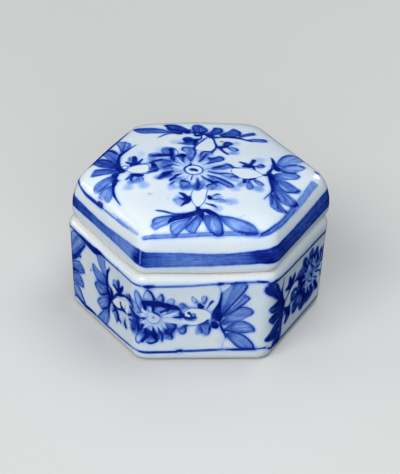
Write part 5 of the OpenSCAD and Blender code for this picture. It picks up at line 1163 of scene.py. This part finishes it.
# ------------------------------------------------------------------ seal paste
def build_paste():
    """a pat of oily vermilion paste, pressed down with a spatula and swirled, with silk fibres showing in it"""
    rng = np.random.default_rng(7)
    R, Z0, H = 24.35, 5.04, 11.6
    nr, na = 78, 240
    ang = np.arange(na) * 2 * math.pi / na
    def fnoise(x, y, seed):
        r = np.random.default_rng(seed)
        out = np.zeros_like(x)
        for k in range(26):
            f = r.uniform(.10, .75); th = r.uniform(0, 2 * math.pi); ph = r.uniform(0, 2 * math.pi)
            out += np.sin(x * f * math.cos(th) + y * f * math.sin(th) + ph) / (1 + 3 * f)
        return out / 6
    fibres = []
    for _ in range(150):
        rr = R * math.sqrt(rng.uniform(0, .88)); a0 = rng.uniform(0, 2 * math.pi)
        x, y = rr * math.cos(a0), rr * math.sin(a0)
        d = a0 + math.pi / 2 + rng.normal(0, .7); bend = rng.normal(0, .25)
        pts = [(x, y)]
        for _ in range(7):
            x += .62 * math.cos(d); y += .62 * math.sin(d); d += bend + rng.normal(0, .12)
            pts.append((x, y))
        if max(math.hypot(*p) for p in pts) < R - 2.0:
            fibres.append((pts, rng.uniform(.10, .24)))
    X, Y, Z = [], [], []
    ts = np.linspace(0, 1, nr)
    for t in ts[1:]:
        rad = t * (R - 2.6)
        X.append(rad * np.cos(ang)); Y.append(rad * np.sin(ang))
    X, Y = np.array(X), np.array(Y)
    r = np.hypot(X, Y); th = np.arctan2(Y, X)
    # a spiral left by the spatula, with a soft peak off the middle
    swirl = .34 * np.sin(r * 1.05 + th * 1.0 + .8 * fnoise(X, Y, 3)) * smooth(0, 5, r) * smooth(R - 1.5, R - 7, r)
    peak = 1.05 * np.exp(-(((X + 2.2) / 4.2) ** 2 + ((Y - 1.5) / 3.4) ** 2))
    top = H - 1.7 + swirl + peak + .55 * fnoise(X * 1.2, Y * 1.2, 5) - .9 * (r / R) ** 3
    fine = .05 * fnoise(X * 7, Y * 7, 11)
    fib = np.zeros_like(X)
    for pts, h in fibres:
        p = np.array(pts); lo, hi = p.min(0) - .8, p.max(0) + .8
        m = (X > lo[0]) & (X < hi[0]) & (Y > lo[1]) & (Y < hi[1])
        if not m.any(): continue
        d = np.full(int(m.sum()), 9.)
        for a, b in zip(pts[:-1], pts[1:]): d = np.minimum(d, seg(X[m], Y[m], a, b))
        fib[m] = np.maximum(fib[m], h * np.exp(-(d / .24) ** 2))
    Zt = Z0 + np.minimum(top + fine + fib, H - .1)
    rows = [np.stack([X[i], Y[i], Zt[i]], -1) for i in range(len(X))]
    zone_f = [fib[i] for i in range(len(X))]
    edge_z = Zt[-1] - Z0
    wob = 1 - .014 * (1 + np.sin(ang * 5 + 1.1) * .5 + np.sin(ang * 9 + 2.) * .3 + np.sin(ang * 14) * .2)
    for q in np.linspace(0, 1, 26)[1:]:
        # over the edge, down the bulging side and under
        prof_r = [R - 2.6, R - 1.2, R - .25, R, R - .2, R - .9, R - 2.0, R - 3.2]
        prof_z = [1.0, .965, .84, .62, .38, .17, .03, 0.0]
        k = np.linspace(0, 1, len(prof_r))
        pr, pz = float(pchip(k, np.array(prof_r), np.array([q]))[0]), float(pchip(k, np.array(prof_z[::-1]), np.array([1 - q]))[0])
        rad = pr * (wob if q > .2 else 1 - (1 - wob) * q / .2)
        rad = rad + .12 * np.sin(ang * 23 + q * 9) * smooth(0, .3, q) * smooth(1, .7, q)
        rows.append(np.stack([rad * np.cos(ang), rad * np.sin(ang), Z0 + edge_z * pz], -1))
        zone_f.append(np.zeros(na))
    for rad in (17, 11, 5):
        rows.append(np.stack([rad * np.cos(ang), rad * np.sin(ang), np.full(na, Z0)], -1)); zone_f.append(np.zeros(na))
    co = np.vstack([[(0, 0, float(Zt[0].mean()))]] + rows + [[(0, 0, Z0)]])
    fib_all = np.concatenate([[0.]] + zone_f + [[0.]])
    n = len(rows)
    faces = []
    idx = lambda i, j: 1 + i * na + j % na
    faces += [(0, idx(0, j), idx(0, j + 1)) for j in range(na)]
    for i in range(n - 1):
        faces += [(idx(i, j), idx(i + 1, j), idx(i + 1, j + 1), idx(i, j + 1)) for j in range(na)]
    last = 1 + n * na
    faces += [(idx(n - 1, j + 1), idx(n - 1, j), last) for j in range(na)]
    ob = make_mesh("vermilion_paste", co, faces)
    put_attribute(ob.data, "fibre", np.clip(fib_all / .2, 0, 1))
    return ob

# ------------------------------------------------------------------ materials
def srgb(r, g, b, a=1.0):
    def lin(c):
        c = c / 255.0
        return c / 12.92 if c <= .04045 else ((c + .055) / 1.055) ** 2.4
    return (lin(r), lin(g), lin(b), a)

class Graph:
    def __init__(self, name):
        self.mat = bpy.data.materials.new(name)
        self.mat.use_nodes = True
        self.nt = self.mat.node_tree
        self.nt.nodes.clear()
    def node(self, kind, **props):
        n = self.nt.nodes.new(kind)
        for k, v in props.items(): setattr(n, k, v)
        return n
    def link(self, a, b): self.nt.links.new(a, b)
    def feed(self, socket, v):
        if isinstance(v, bpy.types.NodeSocket): self.link(v, socket)
        else: socket.default_value = v
    def attr(self, name, vector=False):
        n = self.node('ShaderNodeAttribute', attribute_name=name, attribute_type='GEOMETRY')
        return n.outputs['Vector' if vector else 'Fac']
    def math(self, op, a, b=0., c=0., clamp=False):
        n = self.node('ShaderNodeMath', operation=op, use_clamp=clamp)
        self.feed(n.inputs[0], a)
        if op not in ('ABSOLUTE', 'SQRT', 'SINE'): self.feed(n.inputs[1], b)
        if op == 'MULTIPLY_ADD': self.feed(n.inputs[2], c)
        return n.outputs[0]
    def step(self, v, lo, hi, to0=0., to1=1., kind='SMOOTHSTEP'):
        n = self.node('ShaderNodeMapRange', interpolation_type=kind, clamp=True)
        self.feed(n.inputs[0], v)
        for i, x in enumerate((lo, hi, to0, to1)): n.inputs[i + 1].default_value = x
        return n.outputs[0]
    def scale(self, vec, sx, sy, sz):
        n = self.node('ShaderNodeMapping', vector_type='POINT')
        self.link(vec, n.inputs['Vector']); n.inputs['Scale'].default_value = (sx, sy, sz)
        return n.outputs[0]
    def noise(self, vec, scale, detail=2., rough=.5, dist=0.):
        n = self.node('ShaderNodeTexNoise', noise_dimensions='3D')
        self.link(vec, n.inputs['Vector'])
        n.inputs['Scale'].default_value = scale; n.inputs['Detail'].default_value = detail
        n.inputs['Roughness'].default_value = rough; n.inputs['Distortion'].default_value = dist
        return n.outputs['Fac']
    def ramp(self, fac, stops):
        n = self.node('ShaderNodeValToRGB')
        cr = n.color_ramp
        while len(cr.elements) > 1: cr.elements.remove(cr.elements[-1])
        cr.elements[0].position, cr.elements[0].color = stops[0]
        for p, c in stops[1:]:
            e = cr.elements.new(p); e.color = c
        self.link(fac, n.inputs[0])
        return n.outputs[0]
    def mix(self, fac, a, b, mode='MIX'):
        n = self.node('ShaderNodeMix', data_type='RGBA', blend_type=mode)
        self.feed(n.inputs[0], fac)
        for sock, v in ((n.inputs[6], a), (n.inputs[7], b)): self.feed(sock, v)
        return n.outputs[2]

def porcelain_material(name, iron=False):
    g = Graph(name)
    obj = g.node('ShaderNodeTexCoord').outputs['Object']
    mm = g.scale(obj, 1000, 1000, 1000)
    brush = g.attr("brush", True)
    # cobalt: how much there is at each point
    cloud = g.noise(mm, .55, 3., .55)                       # slow changes of a few millimetres
    grain = g.noise(mm, 3.2, 3., .6)                        # the grain of ground pigment
    streak = g.noise(g.scale(brush, 3.0, .30, 1.0), 1.0, 3., .62)
    wash = g.math('MULTIPLY', g.attr("wash_tone"), g.step(g.attr("wash_cover"), .0, 1.0))
    vary = g.math('ADD', g.math('MULTIPLY', g.math('SUBTRACT', streak, .5), 1.05), g.math('MULTIPLY', g.math('SUBTRACT', cloud, .5), .50))
    wash = g.math('MULTIPLY', wash, g.math('ADD', vary, 1.0))
    bloom = g.math('MULTIPLY', g.attr("bloom"), g.step(cloud, .25, .75, .7, 1.3, 'LINEAR'))
    soft = g.math('SUBTRACT', 1.0, g.math('MULTIPLY', g.math('SUBTRACT', 1.0, wash), g.math('SUBTRACT', 1.0, bloom)))
    ink = g.math('MULTIPLY', g.attr("ink_tone"), g.step(g.attr("ink_cover"), .04, .96))
    ink = g.math('MULTIPLY', ink, g.math('ADD', 1.0, g.math('MULTIPLY', g.math('SUBTRACT', cloud, .5), .42)))
    dens = g.math('MAXIMUM', soft, ink)
    dens = g.math('ADD', dens, g.math('MULTIPLY', g.math('MULTIPLY', g.math('SUBTRACT', grain, .5), .16), g.step(dens, .05, .4)), clamp=True)
    cobalt = g.ramp(dens, COBALT)
    # the glaze itself: bluish where it lies thick, cream where it thins over an edge
    white = g.ramp(g.noise(mm, .09, 2., .5), [(.30, srgb(*GLAZE[0])), (.70, srgb(*GLAZE[1]))])
    cover = g.step(dens, .0, .10, 0., 1., 'LINEAR')
    col = g.mix(cover, white, cobalt)
    thin = g.math('MULTIPLY', g.attr("thin"), g.step(g.noise(mm, .35, 2., .5), .25, .7, .55, 1.0))
    col = g.mix(g.math('MULTIPLY', thin, .38), col, srgb(222, 217, 206))
    if iron:
        k = g.attr("iron")
        rust = g.ramp(k, [(.46, srgb(112, 106, 96)), (.62, srgb(206, 134, 70)), (.84, srgb(200, 126, 64)), (1.0, srgb(120, 70, 40))])
        col = g.mix(g.step(k, .0, .75, 0., 1., 'LINEAR'), col, rust)
    # pinholes and specks of the clay under the glaze
    spot = g.step(g.noise(mm, 1.15, 1., .4), .735, .76)
    spot = g.math('MULTIPLY', spot, g.step(dens, .45, .15, 0., .22, 'LINEAR'))
    col = g.mix(g.math('MULTIPLY', spot, .8), col, srgb(118, 116, 112))
    clay = g.ramp(g.noise(mm, .8, 4., .65), [(.3, srgb(200, 198, 193)), (.7, srgb(218, 216, 211))])
    bare = g.attr("bare")
    col = g.mix(bare, col, clay)
    bsdf = g.node('ShaderNodeBsdfPrincipled')
    g.link(col, bsdf.inputs['Base Color'])
    rough = g.math('ADD', g.step(g.noise(mm, .6, 3., .6), .3, .7, .13, .20, 'LINEAR'), g.math('MULTIPLY', bare, .60))
    g.link(rough, bsdf.inputs['Roughness'])
    bsdf.inputs['IOR'].default_value = 1.5
    # the glaze is not quite level: long waves, a fine orange peel, and grains in the bare clay
    wave = g.node('ShaderNodeBump'); wave.inputs['Strength'].default_value = .30; wave.inputs['Distance'].default_value = .0006
    g.link(g.noise(mm, .11, 2., .5), wave.inputs['Height'])
    peel = g.node('ShaderNodeBump'); peel.inputs['Strength'].default_value = .10; peel.inputs['Distance'].default_value = .00008
    g.link(g.noise(mm, 1.4, 2., .5), peel.inputs['Height']); g.link(wave.outputs[0], peel.inputs['Normal'])
    sand = g.node('ShaderNodeBump'); sand.inputs['Distance'].default_value = .00008
    g.link(g.math('MULTIPLY', bare, .5), sand.inputs['Strength'])
    g.link(g.noise(mm, 5.0, 3., .7), sand.inputs['Height']); g.link(peel.outputs[0], sand.inputs['Normal'])
    g.link(sand.outputs[0], bsdf.inputs['Normal'])
    out = g.node('ShaderNodeOutputMaterial')
    g.link(bsdf.outputs[0], out.inputs['Surface'])
    return g.mat

COBALT = [(0.0, srgb(224, 233, 243)), (.10, srgb(197, 216, 245)), (.22, srgb(152, 182, 235)), (.36, srgb(106, 142, 217)), (.50, srgb(71, 107, 197)),
          (.66, srgb(42, 74, 172)), (.82, srgb(19, 44, 146)), (1.0, srgb(6, 18, 106))]
GLAZE = [(214, 229, 242), (226, 234, 239)]

def paste_material():
    g = Graph("vermilion_paste")
    obj = g.node('ShaderNodeTexCoord').outputs['Object']
    mm = g.scale(obj, 1000, 1000, 1000)
    base = g.ramp(g.noise(mm, .30, 5., .65), [(.28, srgb(150, 16, 10)), (.5, srgb(196, 30, 18)), (.74, srgb(222, 52, 30))])
    base = g.mix(g.math('MULTIPLY', g.attr("fibre"), .55), base, srgb(232, 96, 66))
    oil = g.step(g.noise(mm, .22, 3., .6), .45, .62)
    base = g.mix(g.math('MULTIPLY', oil, .35), base, srgb(128, 10, 8))
    bsdf = g.node('ShaderNodeBsdfPrincipled')
    g.link(base, bsdf.inputs['Base Color'])
    g.link(g.step(oil, 0, 1, .55, .26, 'LINEAR'), bsdf.inputs['Roughness'])
    bsdf.inputs['Subsurface Weight'].default_value = .15
    bsdf.inputs['Subsurface Radius'].default_value = (.0012, .0003, .0002)
    bsdf.inputs['Subsurface Scale'].default_value = 1.0
    b = g.node('ShaderNodeBump'); b.inputs['Strength'].default_value = .5; b.inputs['Distance'].default_value = .0002
    g.link(g.noise(g.scale(obj, 1000, 1000, 1000), 2.2, 5., .7), b.inputs['Height'])
    g.link(b.outputs[0], bsdf.inputs['Normal'])
    out = g.node('ShaderNodeOutputMaterial'); g.link(bsdf.outputs[0], out.inputs['Surface'])
    return g.mat

def floor_material():
    g = Graph("studio_floor")
    obj = g.node('ShaderNodeTexCoord').outputs['Object']
    col = g.ramp(g.noise(obj, 3.0, 3., .5), [(.3, srgb(*FLOOR[0])), (.7, srgb(*FLOOR[1]))])
    bsdf = g.node('ShaderNodeBsdfPrincipled')
    g.link(col, bsdf.inputs['Base Color'])
    bsdf.inputs['Roughness'].default_value = .6
    out = g.node('ShaderNodeOutputMaterial'); g.link(bsdf.outputs[0], out.inputs['Surface'])
    return g.mat
FLOOR = [(214, 214, 212), (219, 219, 217)]

# ------------------------------------------------------------------ putting it together
body = build_body()
body.data.materials.append(porcelain_material("painted_porcelain_body"))
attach(body, "box"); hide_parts("box_body")

lid = build_lid()
lid.data.materials.append(porcelain_material("painted_porcelain_lid", iron=True))
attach(lid, "lid"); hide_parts("lid")

paste = build_paste()
paste.data.materials.append(paste_material())
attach(paste, "box"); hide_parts("seal_paste")

# floor: one broad sheet, a little curved up far behind
gx = np.linspace(-2.6, 2.6, 27); gy = np.linspace(-2.2, 3.4, 29)
fco = np.array([(x, y, .55 * max(0., (y - 1.6) / 1.8) ** 2) for y in gy for x in gx])
ff = [(j * 27 + i, j * 27 + i + 1, (j + 1) * 27 + i + 1, (j + 1) * 27 + i) for j in range(28) for i in range(26)]
fme = bpy.data.meshes.new("studio_floor"); fme.from_pydata(fco.tolist(), [], ff); fme.update()
fme.polygons.foreach_set("use_smooth", [True] * len(ff))
floor = bpy.data.objects.new("studio_floor", fme)
bpy.context.scene.collection.objects.link(floor)
floor.data.materials.append(floor_material())

# soft studio light
def area(name, loc, target, size, power, colour=(1, 1, 1), size_y=None):
    li = bpy.data.lights.new(name, 'AREA')
    li.energy = power; li.color = colour; li.shape = 'RECTANGLE'
    li.size = size; li.size_y = size_y or size
    ob = bpy.data.objects.new(name, li)
    bpy.context.scene.collection.objects.link(ob)
    ob.location = loc
    from mathutils import Vector
    d = Vector(target) - Vector(loc)
    ob.rotation_euler = d.to_track_quat('-Z', 'Y').to_euler()
    return ob

# only the key, the rim and a small glint show in the glaze, as a studio keeps its other lights and its floor out of a glossy pot
for name, loc, size, size_y, power, colour in LIGHTS:
    lamp = area(name, loc, (0, 0, .025), size, power, colour, size_y)
    lamp.visible_glossy = name in ("key", "rim", "glint")
    lamp.visible_diffuse = name not in ("rim", "glint")
floor.visible_glossy = False
floor.visible_diffuse = False

world = bpy.data.worlds.new("studio")
bpy.context.scene.world = world
world.use_nodes = True
world.node_tree.nodes["Background"].inputs[0].default_value = (.86, .93, 1.0, 1)
world.node_tree.nodes["Background"].inputs[1].default_value = WORLD
world.cycles_visibility.glossy = False

# camera, fitted to the photograph
def camera():
    az, el, roll = (math.radians(v) for v in (-3.85, 31.46, 1.71))
    back = np.array([math.sin(az) * math.cos(el), -math.cos(az) * math.cos(el), math.sin(el)])
    right = np.array([math.cos(az), math.sin(az), 0.])
    up = np.cross(back, right)
    r2 = math.cos(roll) * right + math.sin(roll) * up
    u2 = -math.sin(roll) * right + math.cos(roll) * up
    eye = np.array([0, 0, 22.]) + .50 * r2 - .17 * u2 + back * 700.1
    cam = bpy.data.cameras.new("camera")
    cam.sensor_width = 36.0
    cam.lens = 36.0 * 2419.15 / 474
    cam.clip_start, cam.clip_end = .05, 20
    ob = bpy.data.objects.new("camera", cam)
    bpy.context.scene.collection.objects.link(ob)
    m = Matrix.Identity(4)
    for i in range(3):
        m[i][0], m[i][1], m[i][2], m[i][3] = r2[i], u2[i], back[i], eye[i] * .001
    ob.matrix_world = m
    bpy.context.scene.camera = ob
camera()

sc = bpy.context.scene
sc.view_settings.view_transform = 'Standard'
sc.view_settings.look = 'None'
